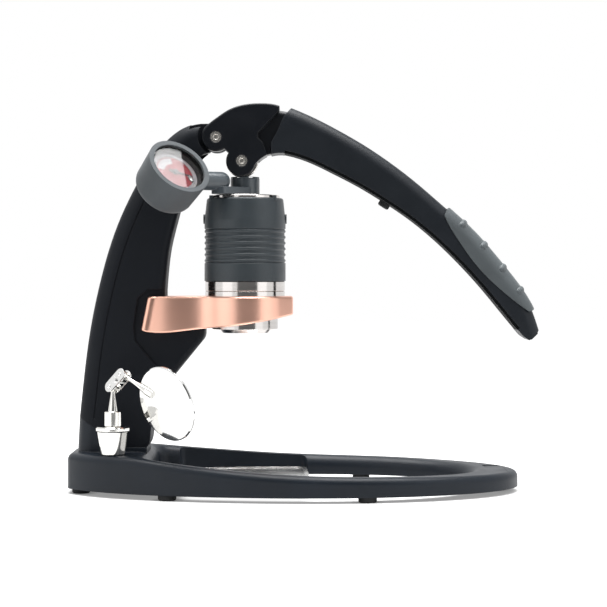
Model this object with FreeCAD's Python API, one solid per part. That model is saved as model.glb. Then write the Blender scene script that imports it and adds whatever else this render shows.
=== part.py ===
"""Lever espresso machine: a hand press with a post, a lever, a brew head with a gauge, and a shot mirror.

All sizes are in millimetres. +X points to the front, +Z up, and the object stands on Z = 0.
The machine is built about the plane Y = 0; the gauge and the mirror stand on the -Y side.
"""
import FreeCAD, Part
import os
from math import asin, atan2, cos, degrees, pi, radians, sin, sqrt

V = FreeCAD.Vector
UP = V(0, 0, 1)
SIDE = V(0, 1, 0)
FRONT = V(1, 0, 0)

# Clearances and the distance at which an edge counts as found
FIT = 0.1                    # between pieces that are fixed to each other
RUNNING_GAP = 0.05           # between pieces that run in each other, on the radius
OVERCUT = 1.0                # how far a cut reaches past the face it opens
NEAR = 0.01

# Base ring
RING_MIDDLE_X = 7.0          # where the ring is widest
RING_HALF_WIDTH = 76.0
RING_FRONT_REACH = 137.5     # from the widest point to the front end
RING_REAR_X = -157.2
RING_REAR_HALF = 19.9        # half width of the rear face, before its corners are rounded
RING_REAR_CORNER = 13.0
RING_BAND = 13.4             # width of the side bands
RING_FRONT_BAND = 32.0
RING_BOTTOM = 3.5
RING_OUTER_ROUND = 4.6
RING_INNER_ROUND = 7.4
RING_OPENING_REAR_X = -101.0
RING_OPENING_CORNER = 10.0
RING_DECK = 27.0             # height of the level deck at the rear
RING_DECK_FRONT_X = -116.0
RING_CREST = [(-95, 25.2), (-60, 21.5), (-25, 18.6), (15, 16.8), (60, 15.9), (105, 14.9), (150, 14.1)]

# Tray and the pockets that hold it
TRAY_REAR_X = -87.0
TRAY_FRONT_X = 1.5
TRAY_FRONT_BOW = 2.6
TRAY_WALL = 8.5              # ring left standing outside the pockets
TRAY_LEDGE_TOP = 6.6
TRAY_SHELF_FRONT_X = -79.0   # the shelf under the tray's rear edge ends here
TRAY_HEIGHT = 2.2
TRAY_RIM = 3.0
TRAY_DISH = 0.9
TRAY_GAP = 0.4
TRAY_CORNER = 5.0

# Shallow bare field on the front band
FIELD_LENGTH = 13.6
FIELD_WIDTH = 40.0
FIELD_DEPTH = 0.8
FIELD_FRONT_MARGIN = 8.3

# Feet
FOOT_RADIUS = 6.0
FOOT_SEAT = 1.5              # how far a foot is let into the ring
FOOT_EDGE = 0.8
FOOT_REAR_MARGIN = 9.0       # from the rear face to the first pair
FOOT_REAR_HALF_SPREAD = 17.0
FOOT_STATIONS = [-88.0, 41.0]

# Post
POST_HALF = 16.0
POST_FOOT_FRONT_X = -104.6
POST_SEAM_Z = 30.2
POST_HEEL_Z = 50.7
POST_HEEL_X = -150.3
HEEL_LEAN = 1.3              # how far the heel spreads down to the ring
SEAM_KNEE = 6.0              # the level seam ends this far ahead of the bolts' middle
# Share of the way from the heel to the next list's first point, and height
POST_BACK_LOW = [(0.055, 70.0), (0.18, 106.0), (0.37, 140.3), (0.73, 182.5)]
POST_BACK_HIGH = [(-54.9, -34.4), (-33.4, -2.5), (-22.5, 5.9), (-10.3, 9.3)]    # from the pivot
POST_FRONT_X = -92.6
POST_FRONT_KNEE_Z = 66.0
POST_STRAIGHT_RISE = 4.0     # how far above the bracket the front stays upright
POST_FRONT_LOW = [(-103.1, 33.0), (-102.0, 41.0), (-98.4, 54.5)]
POST_FRONT_HIGH = [(-91.5, 149.0), (-89.7, 163.0), (-84.0, 186.4)]
POST_FRONT_TOP = [(-9.2, -13.6), (-4.5, -9.9)]                                  # from the pivot
POST_BACK_ROUND = 9.5
POST_FRONT_ROUND = 5.5
POST_SHOULDER_RADIUS = 12.0
GROOVE_INSET = 10.2
GROOVE_WIDTH = 0.8
GROOVE_DEPTH = 0.5
GROOVE_END = 0.86            # share of the back's curve that the channels follow

# Gusset below the bracket and the sunk field round the bracket's arms
SEAT_DEPTH = 2.0
GUSSET_FRONT_X = -66.0
GUSSET_CORNER_Z = 103.5
GUSSET_SLOPE = 1.23          # fall for each millimetre back to the post
GUSSET_CORNER_ROUND = 8.0
GUSSET_ROUND = 4.0
GUSSET_ROOT = 8.0            # how deep the web is let into the post
SEAT_FIELD_ROUND = 4.0
SEAT_FIELD = [(-104.0, 135.7), (-110.8, 130.0), (-113.5, 111.0), (-112.6, 101.5), (-88.0, 71.7)]

# Pocket in the post's top that the lever head swings into
SWING_RADIUS = 18.6
SWING_GAP = 0.6
TONGUE_HALF = 4.5
TONGUE_END_RADIUS = 9.4
TONGUE_TOP = (-3.7, 9.4)      # from the pivot: where the post's top line ends on the tongue
TONGUE_ROOT = 6.0            # how deep the tongue is let into the post

# Bracket
BREW_X = -39.5
BRACKET_TOP = 131.0
BRACKET_ARM = 8.5
BRACKET_REAR_TOP_X = -103.7
BRACKET_REAR_BOTTOM_X = -108.3
BRACKET_REAR_ROUND = 5.5
BRACKET_UNDERSIDE = [(-108.3, 108.2), (-98.2, 106.6), (-75.0, 108.7), (-49.8, 111.2),
                     (-24.0, 115.0), (-5.0, 119.1)]
RING_EYE_RADIUS = 32.0
EYE_WAIST_ROUND = 16.0
EYE_FRONT_REACH = 32.4
EYE_FRONT_HALF = 11.5
EYE_FACET_ANGLE = 40.0
EYE_FRONT_ROUND = 3.0
BRACKET_EDGE = 1.6
BRACKET_LOW_EDGE = 1.0

# Portafilter cup, basket and screen
CUP_RADIUS = 22.2
CUP_GAP = 0.3
CUP_BOTTOM = 106.5
CUP_CHAMFER = 2.4
CUP_FLANGE_RADIUS = 27.0
CUP_FLANGE = 3.1
CUP_WALL = 2.0
CUP_LIP = 2.4
CUP_LIP_WALL = 3.6
BASKET_WALL = 0.6
BASKET_DEPTH = 21.0
BASKET_RIM_RADIUS = 23.4
BASKET_RIM = 1.0
BASKET_SLANT = 1.5
BASKET_HOLE_PITCH = 6.4
SCREEN_HOLE_PITCH = 7.0
HOLE_RADIUS = 0.7
SCREEN_THICKNESS = 0.9
SCREEN_DROP = 2.4
GASKET_HEIGHT = 1.5

# Brew cylinder
CYLINDER_BORE = 20.0
CYLINDER_RADIUS = 23.5
CYLINDER_TOP = 196.6
COLLAR_HEIGHT = 7.1
COLLAR_EDGE = 0.6
SLEEVE_RADIUS = 27.4
SLEEVE_TOP_LIP = 0.4 
SLEEVE_SHOULDER = 1.6
SLEEVE_TAPER = 1.5            # how far the top block draws in
SLEEVE_TAPER_Z = 182.0
SLEEVE_RIBS = 6
SLEEVE_RIB_FIRST_Z = 154.9
SLEEVE_RIB_PITCH = 3.95
SLEEVE_RIB_HALF = 1.15
SLEEVE_RIB_RISE = 0.75
SLEEVE_NUB_RADIUS = 1.4
SLEEVE_NUB_RISE = 1.6
SLEEVE_NUB_CIRCLE = 25.2
SLEEVE_NUB_ANGLES = [-37.0, -152.0]
SLEEVE_PAD_Z = 183.0
SLEEVE_PAD_RADIUS = 3.2
SLEEVE_PAD_RISE = 0.7
CAP_RADIUS = 23.4
CAP_HEIGHT = 2.4
CAP_SPIGOT = 8.0
CAP_EDGE = 0.5

# Piston and plunger stem
PISTON_CLEAR = 0.3
PISTON_BOTTOM = 137.0
PISTON_HEIGHT = 14.0
PISTON_CONE = 1.2
SEAL_SECTION = 1.1           # half of a seal's height, and of its width in the groove
SEAL_EDGE = 0.5
SEAL_HEIGHTS = [3.6, 10.0]
STEM_RADIUS = 6.0
STEM_NECK_RADIUS = 5.0
BOSS_LIFT = 0.3              # the gap between the cylinder cap and the gauge boss
BOSS_HEIGHT = 10.7
BOSS_RADIUS = 9.8
PLUNGER_CAP_HEIGHT = 0.6
PLUNGER_TABS = 6
PLUNGER_TAB_RISE = 0.7
PLUNGER_TAB_INNER = 7.0
PLUNGER_TAB_SPACE = 4.4

# Lever pins, counted from the plunger's top
ROLLER_RADIUS = 10.9
ROLLER_GAP = 0.3
ROLLER_HALF = 4.4
ROLLER_EDGE = 0.8
PRESS_X = -41.4
PIVOT_X = -58.7
PIVOT_RISE = 16.0
PIN_RADIUS = 3.0
PIN_HEAD_RADIUS = 3.8
PIN_HEAD_HEIGHT = 2.4
PIN_HEAD_SUNK = 0.3
PIN_SCREW_RADIUS = 1.7
BUSH_WALL = 1.4
HEX_RADIUS = 1.9
HEX_DEPTH = 1.5

# Lever head, from the pivot
HEAD_HALF = 12.6
HEAD_SLOT_HALF = 5.0
PIVOT_LOBE_RADIUS = 9.8
PRESS_LOBE = (16.6, -16.6)     # middle of the second lobe, from the pivot
PRESS_LOBE_RADIUS = 9.6
HEAD_CROWN_ANGLE = 134.0     # where the crown leaves the pivot's lobe, tangent to it
HEAD_TOP = [(1.6, 13.7), (8.5, 18.2), (18.9, 21.7), (30.0, 22.6), (42.6, 20.8)]
HEAD_END = [(42.4, 17.6), (32.4, 7.3), (27.9, 2.8), (27.9, -0.3), (31.3, -3.9), (33.6, -9.6), (33.9, -12.2)]
HEAD_UNDER = [(25.8, -19.0), (29.4, -15.2)]
LOBE_MEET_ANGLE = 9.0        # how far from the line of the pins each lobe's rim ends
HEAD_EDGE = 1.2
HEAD_SLOT_ROOT = 12.6
HEAD_SLOT_ANGLE = 52.0
ROLLER_SLOT_GAP = 0.7
SPIGOT_HALF = 8.0
SPIGOT_TOP = [(36.0, 18.8), (43.0, 18.0), (50.0, 16.8), (70.0, 7.4)]
SPIGOT_BOTTOM = [(68.0, -12.0), (60.0, -9.0), (49.0, -6.4), (36.9, -6.2)]
SPIGOT_NECK = [(36.9, -11.2), (31.0, -12.6)]      # the neck between the cheeks and the handle
SPIGOT_ROOT = [(26.5, -2.0), (26.5, 10.0)]
SPIGOT_ROUND = 3.0

# Handle, from the pivot
HANDLE_HALF = 14.0
HANDLE_START = [(50.6, 19.7), (45.2, 13.3), (41.6, 4.6), (37.2, -3.5), (37.0, -11.7)]
HANDLE_TOP = [(50.6, 19.7), (68.8, 11.7), (84.9, 3.2), (101.1, -6.3), (117.2, -17.2), (133.4, -29.6),
              (149.5, -43.4), (163.0, -55.3), (175.8, -67.9), (187.1, -81.0), (196.4, -92.4),
              (206.6, -106.3), (212.3, -116.4)]
HANDLE_BOTTOM = [(37.0, -11.7), (43.9, -10.9), (58.6, -14.4), (76.0, -22.4), (92.0, -30.5), (109.4, -40.8),
                 (129.5, -54.2), (149.5, -70.7), (169.6, -90.8), (182.9, -105.9), (196.3, -122.4),
                 (205.7, -133.5)]
HANDLE_TIP = [(209.8, -136.2), (211.4, -135.3), (216.6, -129.6)]
HANDLE_TOP_ROUND = 8.0
STRIP_HEIGHT = 1.8
STRIP_SUNK = 1.2
STRIP_HALF = 11.6
STRIP_START = 46.0
STRIP_END = 202.0
GRIP_WALL = 2.4              # how deep the handle is cut down under the grip
GRIP_RISE = 2.0              # how far the grip stands over the handle's top line
GRIP_SIDE = 0.6              # and over its flanks
GRIP_START_X = 155.0         # from the pivot, along the handle's top line
GRIP_LOW = [(152.8, -52.6), (154.2, -56.0), (157.4, -61.8), (163.9, -71.9), (170.7, -81.6), (177.5, -89.8),
            (184.3, -96.8), (191.1, -102.9), (197.9, -108.6), (204.8, -113.8), (209.9, -117.2)]
GRIP_CORNER = 1.4
GRIP_EDGE = 0.5
GRIP_RIB_XS = [167.4, 181.4, 194.1, 205.8]
GRIP_RIB_RADIUS = 2.8
GRIP_RIB_RISE = 1.0
GRIP_RIB_SWEEP = 50.0        # how far a rib runs down the shoulder, in degrees
REST_BUMPER_AT = 114.0
REST_BUMPER_RADIUS = 4.0
REST_BUMPER_RISE = 3.6
REST_BUMPER_EDGE = 1.2
TIP_BUMPER_HALF = 6.0
TIP_BUMPER_LENGTH = 6.4
TIP_BUMPER_RISE = 1.7
TIP_BUMPER_SUNK = 2.0
TIP_BUMPER_EDGE = 0.7
HANDLE_SCREW_STATIONS = [53.0, 63.0]
HANDLE_SCREW_RADIUS = 2.5
HANDLE_SCREW_HEAD = 4.5
HANDLE_SCREW_LENGTH = 15.0
HANDLE_SCREW_GAP = 0.2       # between the strip and the heads

# Bolts
BOLT_HEAD_CLEAR = 0.3
POST_BOLT_RADIUS = 4.0
POST_BOLT_XS = [-139.0, -114.0]
POST_BOLT_LENGTH = 34.0
POST_BOLT_HEAD_RADIUS = 6.5
POST_BOLT_HEAD = 8.0
POST_BOLT_SUNK = 1.0
BRACKET_BOLT_RADIUS = 3.0
BRACKET_BOLT_ZS = [113.5, 124.5]
BRACKET_BOLT_HEAD_RADIUS = 5.0
BRACKET_BOLT_HEAD = 6.0
BRACKET_BOLT_HEAD_X = -121.0
BRACKET_BOLT_TIP_X = -78.0

# Gauge: local z runs out of the dial, local x towards the elbow
GAUGE_FACE = (-80.4, -50.0, 216.0)
GAUGE_NORMAL = (0.49, -0.62, 0.61)
BOOT_RADIUS = 21.7
BOOT_DEPTH = 28.0
BOOT_WALL = 2.9
BOOT_BACK_ROUND = 7.0
BOOT_TAPER = 1.2              # how far the boot draws in towards its back
BOOT_LIP = 3.5
BOOT_LIP_DEPTH = 1.6
CASE_WALL = 1.2
CASE_DEPTH = 23.0
BEZEL_DEPTH = 4.4
BEZEL_WIDTH = 1.9
BEZEL_STEP = 0.25
LENS_THICKNESS = 1.2
DIAL_THICKNESS = 0.8
NEEDLE_LENGTH = 12.5
NEEDLE_TAIL = 4.5
NEEDLE_THICKNESS = 0.5
NEEDLE_HUB = 1.7
NEEDLE_REST = -16.0          # angle of the needle at rest, from the elbow's side
NEEDLE_LIFT = 0.9            # from the dial to the needle
NEEDLE_HALF = 0.9
NEEDLE_TIP_HALF = 0.15
HUB_HEIGHT = 1.4
ARBOR_RADIUS = 0.8
ARBOR_LENGTH = 5.0
ARBOR_ROOM = 0.3
MOVEMENT_LENGTH = 14.0
MOVEMENT_WIDTH = 8.0
MOVEMENT_PLATE = 1.2
MOVEMENT_HEIGHT = 6.0
MOVEMENT_PILLAR = 0.9
MOVEMENT_FOOT = 2.5
TUBE_LIFT = 2.4              # from the case's floor to the middle of the tube
TUBE_BLOCK = 5.0
TUBE_CIRCLE = 13.0
TUBE_RADIUS = 1.5
ELBOW_X = -55.0
ELBOW_Y = -19.5
ELBOW_TOP = 207.7            # height of the arm's axis at the elbow
ARM_RADIUS = 6.2
ELBOW_FOOT_HEIGHT = 4.8

# Shot mirror
MIRROR_X = -125.2
MIRROR_Y = -35.0
MIRROR_FOOT_LOW = 8.0
MIRROR_FOOT_HIGH = 11.2
MIRROR_FOOT_HEIGHT = 18.8
MIRROR_LIP = 3.4
MIRROR_FOOT_EDGE = 0.8
MAGNET_RADIUS = 6.0
MAGNET_HEIGHT = 3.0
MIRROR_COLLAR_RADIUS = 5.6
MIRROR_COLLAR_HEIGHT = 10.0
MIRROR_COLLAR_EDGE = 0.4
NECK_LOW = 3.3
NECK_HIGH = 1.4
NECK_TOP = 67.6
BALL_RADIUS = 2.9
BALL_HEIGHT = 71.6
CLAMP_NORMAL = (-0.604, -0.755, 0.252)
CLAMP_REACH = (7.2, -3.1, 8.1)
CLAMP_HALF_WIDTH = 3.8
CLAMP_PLATE = 1.0
CLAMP_GAP = 2.5              # half of the space between the plates
CLAMP_SCREW_RADIUS = 1.0
CLAMP_HEAD_RADIUS = 1.9
CLAMP_HEAD_HEIGHT = 1.2
DIMPLE_RADIUS = 1.5
DIMPLE_LIFT = 0.9
DISC_CENTRE = (-88.2, -56.2, 62.2)
DISC_NORMAL = (0.669, 0.70, 0.249)
DISC_RADIUS = 25.0
DISC_THICKNESS = 2.2
DISC_EDGE = 0.8
DISC_LIP = 0.3
GLASS_SUNK = 1.3
GLASS_MARGIN = 1.3
GLASS_DROP = 0.2             # from the dish's rim to the glass
ARM_FOOT = (-102.0, 70.3)    # X and Z where the mirror's arm meets its back
ARM_THIN = 1.15
ARM_WAIST = 1.5              # halfway along
ARM_WIDE = 2.9

# Half axis of the ring's rear curve, which the rear face cuts short
RING_REAR_REACH = (RING_MIDDLE_X - RING_REAR_X) / sqrt(1 - (RING_REAR_HALF / RING_HALF_WIDTH) ** 2)

# Heights that follow from the stack of the brew head
FLANGE_TOP = BRACKET_TOP + CUP_FLANGE
CYLINDER_BOTTOM = FLANGE_TOP + GASKET_HEIGHT
CAP_TOP = CYLINDER_TOP + CAP_HEIGHT
BOSS_BOTTOM = CAP_TOP + BOSS_LIFT
BOSS_TOP = BOSS_BOTTOM + BOSS_HEIGHT
PLUNGER_TOP = BOSS_TOP + PLUNGER_CAP_HEIGHT
PRESS_Z = PLUNGER_TOP + ROLLER_GAP + ROLLER_RADIUS
PIVOT_Z = PRESS_Z + PIVOT_RISE
SEAT_HALF = POST_HALF - SEAT_DEPTH
SEAM_KNEE_X = (POST_BOLT_XS[0] + POST_BOLT_XS[1]) / 2 + SEAM_KNEE


def point(x, z, y=0.0):
    return V(x, y, z)


def about_pivot(pairs):
    """Points given from the pivot, moved to where the pivot is."""
    return [(PIVOT_X + x, PIVOT_Z + z) for x, z in pairs]


def curve(pairs):
    """One smooth curve through points of the side view."""
    spline = Part.BSplineCurve()
    spline.interpolate([point(x, z) for x, z in pairs])
    return spline.toShape()


def chain(pairs):
    """Straight edges through points of the side view."""
    corners = [point(x, z) for x, z in pairs]
    return [Part.LineSegment(a, b).toShape() for a, b in zip(corners, corners[1:])]


def plate(edges, near, far):
    """A side-view outline made solid between two values of Y."""
    face = Part.Face(Part.Wire(edges))
    face.translate(V(0, near, 0))
    return face.extrude(V(0, far - near, 0))


def slab(edges, half):
    return plate(edges, -half, half)


def polygon_slab(pairs, half):
    return slab(chain(list(pairs) + [pairs[0]]), half)


def disc(radius, height, x, y, z):
    return Part.makeCylinder(radius, height, V(x, y, z), UP)


def cross_pin(radius, near, far, x, z):
    """A round bar along Y between two values of Y."""
    return Part.makeCylinder(radius, far - near, V(x, near, z), SIDE)


def turned(profile, x=0.0, y=0.0):
    """A body turned about a vertical axis from (radius, height) pairs."""
    corners = [V(radius, 0, height) for radius, height in profile]
    face = Part.Face(Part.makePolygon(corners + [corners[0]]))
    body = face.revolve(V(0, 0, 0), UP, 360)
    body.translate(V(x, y, 0))
    return body


def hexagon(radius, depth, centre, direction):
    """A hexagon socket, sunk from centre along direction."""
    turn = FreeCAD.Rotation(UP, direction)
    spokes = [V(radius * cos(i * pi / 3), radius * sin(i * pi / 3), 0) for i in range(7)]
    corners = [centre + turn.multVec(spoke) for spoke in spokes]
    return Part.Face(Part.makePolygon(corners)).extrude(direction * depth)


def smooth_edges(body, radius, chosen):
    edges = [edge for edge in body.Edges if chosen(edge)]
    return body.makeFillet(radius, edges)


def upright(edge):
    return abs(edge.tangentAt(edge.FirstParameter).z) > 0.99


def crossways(edge):
    return abs(edge.tangentAt(edge.FirstParameter).y) > 0.99


def middle(edge):
    return edge.valueAt((edge.FirstParameter + edge.LastParameter) / 2)


def on_guide(spot, guide):
    """True for a point that a side-view guide passes, seen along Y."""
    return guide.distToShape(Part.Vertex(V(spot.x, 0, spot.z)))[0] < 2 * NEAR


def follows(edge, guide, half):
    """True for an edge that runs along a side-view guide on a face at Y = +half or -half."""
    spot = middle(edge)
    return abs(abs(spot.y) - half) < NEAR and on_guide(spot, guide)


def shifted_curve(pairs, offset, first, last, count=9):
    """A curve beside another one: offset to the left of its direction, between two shares of its length."""
    base = curve(pairs)
    low, high = base.FirstParameter, base.LastParameter
    shifted = []
    for i in range(count):
        share = first + (last - first) * i / (count - 1)
        u = low + (high - low) * share
        spot = base.valueAt(u)
        along = base.tangentAt(u)
        shifted.append((spot.x - along.z * offset, spot.z + along.x * offset))
    return shifted


def save(name, shape):
    shape.exportStep("parts/" + name + ".step")


# Base ring

def egg_outline(inset, front_reach, rear_x, z):
    """The egg outline of the ring, moved inwards and closed by a straight rear edge."""
    half = RING_HALF_WIDTH - inset
    rear_reach = RING_REAR_REACH - inset
    centre = V(RING_MIDDLE_X, 0, z)
    rear_turn = pi - asin(sqrt(1 - ((RING_MIDDLE_X - rear_x) / rear_reach) ** 2))
    front = Part.Ellipse(centre, front_reach, half)
    rear = Part.Ellipse(centre, rear_reach, half)
    edges = [Part.ArcOfEllipse(front, -pi / 2, pi / 2).toShape(),
             Part.ArcOfEllipse(rear, pi / 2, rear_turn).toShape()]
    left = edges[1].Vertexes[-1].Point
    right = V(left.x, -left.y, z)
    edges.append(Part.LineSegment(left, right).toShape())
    edges.append(Part.ArcOfEllipse(rear, 2 * pi - rear_turn, 3 * pi / 2).toShape())
    return edges


def egg_block(inset, front_reach, rear_x, low, high, corner):
    """The egg made solid between two heights, with round corners at its rear edge."""
    edges = egg_outline(inset, front_reach, rear_x, low)
    block = Part.Face(Part.Wire(edges)).extrude(V(0, 0, high - low))
    return smooth_edges(block, corner, lambda e: upright(e) and abs(middle(e).x - rear_x) < NEAR)


def ring_half_width(x, inset=0.0):
    """Half width of the ring's outline at one value of X."""
    reach = RING_FRONT_REACH if x > RING_MIDDLE_X else RING_REAR_REACH
    share = (x - RING_MIDDLE_X) / (reach - inset)
    return (RING_HALF_WIDTH - inset) * sqrt(1 - share * share)


def tray_outline(inset, low, height):
    """The pocket's outline, or the tray's where inset is more than the wall of the ring."""
    gap = inset - TRAY_WALL
    rear = TRAY_REAR_X + gap
    front = TRAY_FRONT_X - gap
    block = egg_block(inset, RING_FRONT_REACH - inset, rear, low, low + height, TRAY_CORNER)
    bow = Part.Arc(V(front, -RING_HALF_WIDTH, low), V(front + TRAY_FRONT_BOW, 0, low),
                   V(front, RING_HALF_WIDTH, low)).toShape()
    back = Part.makePolygon([V(front, RING_HALF_WIDTH, low), V(RING_REAR_X, RING_HALF_WIDTH, low),
                             V(RING_REAR_X, -RING_HALF_WIDTH, low), V(front, -RING_HALF_WIDTH, low)])
    keep = Part.Face(Part.Wire([bow] + back.Edges)).extrude(V(0, 0, height))
    plan = block.common(keep)
    return smooth_edges(plan, TRAY_CORNER, lambda e: upright(e) and abs(middle(e).x - front) < TRAY_FRONT_BOW)


def foot_places():
    """The feet: two under the rear block, two on each side band, one under the front band."""
    rear = RING_REAR_X + FOOT_REAR_MARGIN
    places = [(rear, FOOT_REAR_HALF_SPREAD), (rear, -FOOT_REAR_HALF_SPREAD)]
    for x in FOOT_STATIONS:
        spread = ring_half_width(x) - RING_BAND / 2
        places += [(x, spread), (x, -spread)]
    places.append((RING_MIDDLE_X + RING_FRONT_REACH - RING_FRONT_BAND / 2, 0.0))
    return places


def post_back_points():
    high = about_pivot(POST_BACK_HIGH)
    reach = high[0][0] - POST_HEEL_X
    low = [(POST_HEEL_X + share * reach, z) for share, z in POST_BACK_LOW]
    return [(POST_HEEL_X, POST_HEEL_Z)] + low + high


def post_high_front():
    return [(POST_FRONT_X, BRACKET_TOP + POST_STRAIGHT_RISE)] + POST_FRONT_HIGH + about_pivot(POST_FRONT_TOP)


def make_heel():
    """The part of the base that rises behind the post and carries it."""
    root = RING_DECK - OVERCUT
    edges = chain([(POST_HEEL_X, POST_HEEL_Z), (POST_HEEL_X - HEEL_LEAN, root), (POST_FOOT_FRONT_X, root),
                   (POST_FOOT_FRONT_X, POST_SEAM_Z), (SEAM_KNEE_X, POST_SEAM_Z), (POST_HEEL_X, POST_HEEL_Z)])
    heel = slab(edges, POST_HALF)
    return smooth_edges(heel, POST_BACK_ROUND, lambda e: abs(abs(middle(e).y) - POST_HALF) < NEAR
                        and abs(middle(e).x - POST_HEEL_X + HEEL_LEAN / 2) < NEAR)


def make_base_ring():
    top = RING_DECK + RING_OUTER_ROUND
    body = egg_block(0, RING_FRONT_REACH, RING_REAR_X, RING_BOTTOM, top, RING_REAR_CORNER)
    crest = [(RING_DECK_FRONT_X, RING_DECK)] + RING_CREST
    slope = Part.BSplineCurve()
    slope.interpolate(Points=[point(x, z) for x, z in crest], InitialTangent=V(1, 0, 0),
                      FinalTangent=V(1, 0, -0.02))
    first, last = (RING_REAR_X - OVERCUT, RING_DECK), crest[-1]
    above = chain([first, crest[0]]) + [slope.toShape()]
    above += chain([last, (last[0], top + OVERCUT), (first[0], top + OVERCUT), first])
    body = body.cut(slab(above, RING_HALF_WIDTH + OVERCUT))
    lowest_crest = min(z for _, z in RING_CREST)
    body = smooth_edges(body, RING_OUTER_ROUND,
                        lambda e: middle(e).z > lowest_crest - OVERCUT and not upright(e))
    opening_reach = RING_FRONT_REACH - RING_FRONT_BAND
    opening = egg_block(RING_BAND, opening_reach, RING_OPENING_REAR_X, TRAY_LEDGE_TOP, top,
                        RING_OPENING_CORNER)
    body = body.cut(opening)
    body = smooth_edges(body, RING_INNER_ROUND, lambda e: middle(e).z > lowest_crest - OVERCUT
                        and opening.distToShape(Part.Vertex(middle(e)))[0] < NEAR and not upright(e))
    below = egg_block(RING_BAND, opening_reach, TRAY_SHELF_FRONT_X, 0, TRAY_LEDGE_TOP, RING_OPENING_CORNER)
    body = body.cut([below, tray_outline(TRAY_WALL, TRAY_LEDGE_TOP, top)])
    field_front = RING_MIDDLE_X + RING_FRONT_REACH - FIELD_FRONT_MARGIN
    field = Part.makeBox(FIELD_LENGTH, FIELD_WIDTH, RING_DECK,
                         V(field_front - FIELD_LENGTH, -FIELD_WIDTH / 2, RING_CREST[-2][1] - FIELD_DEPTH))
    body = body.cut(field)
    body = body.fuse(make_heel()).removeSplitter()
    for x in POST_BOLT_XS:
        body = body.cut([disc(POST_BOLT_RADIUS, POST_HEEL_Z, x, 0, 0),
                         disc(POST_BOLT_HEAD_RADIUS, RING_BOTTOM + POST_BOLT_HEAD, x, 0, 0)])
    seats = [disc(FOOT_RADIUS, RING_BOTTOM + FOOT_SEAT, x, y, 0) for x, y in foot_places()]
    return body.cut(seats)


def make_feet():
    feet = []
    for x, y in foot_places():
        foot = turned([(0, 0), (FOOT_RADIUS - FOOT_EDGE, 0), (FOOT_RADIUS, FOOT_EDGE),
                       (FOOT_RADIUS, RING_BOTTOM + FOOT_SEAT), (0, RING_BOTTOM + FOOT_SEAT)], x, y)
        feet.append(foot)
    return Part.makeCompound(feet)


def make_tray():
    pan = tray_outline(TRAY_WALL + TRAY_GAP, TRAY_LEDGE_TOP, TRAY_HEIGHT)
    floor = TRAY_LEDGE_TOP + TRAY_HEIGHT - TRAY_DISH
    dish = tray_outline(TRAY_WALL + TRAY_GAP + TRAY_RIM, floor, TRAY_HEIGHT)
    return pan.cut(dish)


# Post

def post_edges():
    """The post's side view: back curve, shoulder round the pivot, front curve and foot."""
    back = post_back_points()
    high_front = post_high_front()
    knee = (POST_FRONT_X, POST_FRONT_KNEE_Z)
    low_front = [knee] + POST_FRONT_LOW[::-1] + [(POST_FOOT_FRONT_X, POST_SEAM_Z)]
    edges = [curve(back)]
    edges += chain([back[-1], high_front[-1]])
    edges.append(curve(high_front[::-1]))
    edges += chain([high_front[0], low_front[0]])
    edges.append(curve(low_front))
    edges += chain([low_front[-1], (SEAM_KNEE_X, POST_SEAM_Z), back[0]])
    return edges


def bracket_underside():
    return curve(BRACKET_UNDERSIDE)


def make_gusset():
    """Web under the bracket: upright front, round corner, then a slope back into the post."""
    back_x = POST_FRONT_X - GUSSET_ROOT
    corner = (GUSSET_FRONT_X, GUSSET_CORNER_Z)
    low = (POST_FRONT_X, GUSSET_CORNER_Z - (GUSSET_FRONT_X - POST_FRONT_X) * GUSSET_SLOPE)
    corners = [(back_x, BRACKET_TOP), (GUSSET_FRONT_X, BRACKET_TOP), corner, low,
               (back_x, low[1] - 2 * GUSSET_ROOT)]
    web = polygon_slab(corners, SEAT_HALF)
    web = smooth_edges(web, GUSSET_CORNER_ROUND, lambda e: crossways(e)
                       and middle(e).distanceToPoint(point(*corner)) < NEAR)
    web = smooth_edges(web, GUSSET_ROUND, lambda e: abs(abs(middle(e).y) - SEAT_HALF) < NEAR
                       and middle(e).x > POST_FRONT_X + OVERCUT and middle(e).z < BRACKET_TOP - OVERCUT)
    under = BRACKET_UNDERSIDE
    above = [bracket_underside()] + chain([under[-1], (under[-1][0], BRACKET_TOP + OVERCUT),
                                           (under[0][0], BRACKET_TOP + OVERCUT), under[0]])
    return web.cut(slab(above, POST_HALF))


def seat_fields():
    """Sunk fields on both flanks of the post, for the bracket's arms and the gusset."""
    corners = SEAT_FIELD + [(PIVOT_X, SEAT_FIELD[-1][1]), (PIVOT_X, SEAT_FIELD[0][1])]
    field = polygon_slab(corners, POST_HALF + OVERCUT)
    inner = [point(*corner) for corner in SEAT_FIELD[1:4]]
    rounded = smooth_edges(field, SEAT_FIELD_ROUND, lambda e: crossways(e)
                           and min(middle(e).distanceToPoint(corner) for corner in inner) < NEAR)
    return rounded.cut(post_core(SEAT_HALF))


def post_core(half):
    """The middle of the post, which the work on its flanks leaves alone."""
    return Part.makeBox(-RING_REAR_X, 2 * half, PIVOT_Z, V(RING_REAR_X, -half, 0))


def groove_strips():
    """Thin channels along the post's rounded back, one on each flank."""
    back = post_back_points()
    outer = shifted_curve(back, -GROOVE_INSET, 0.0, GROOVE_END)
    inner = shifted_curve(back, -GROOVE_INSET - GROOVE_WIDTH, 0.0, GROOVE_END)
    edges = [curve(outer)] + chain([outer[-1], inner[-1]])
    edges += [curve(inner[::-1])] + chain([inner[0], outer[0]])
    strip = slab(edges, POST_HALF + OVERCUT)
    return strip.cut(post_core(POST_HALF - GROOVE_DEPTH))


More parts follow.
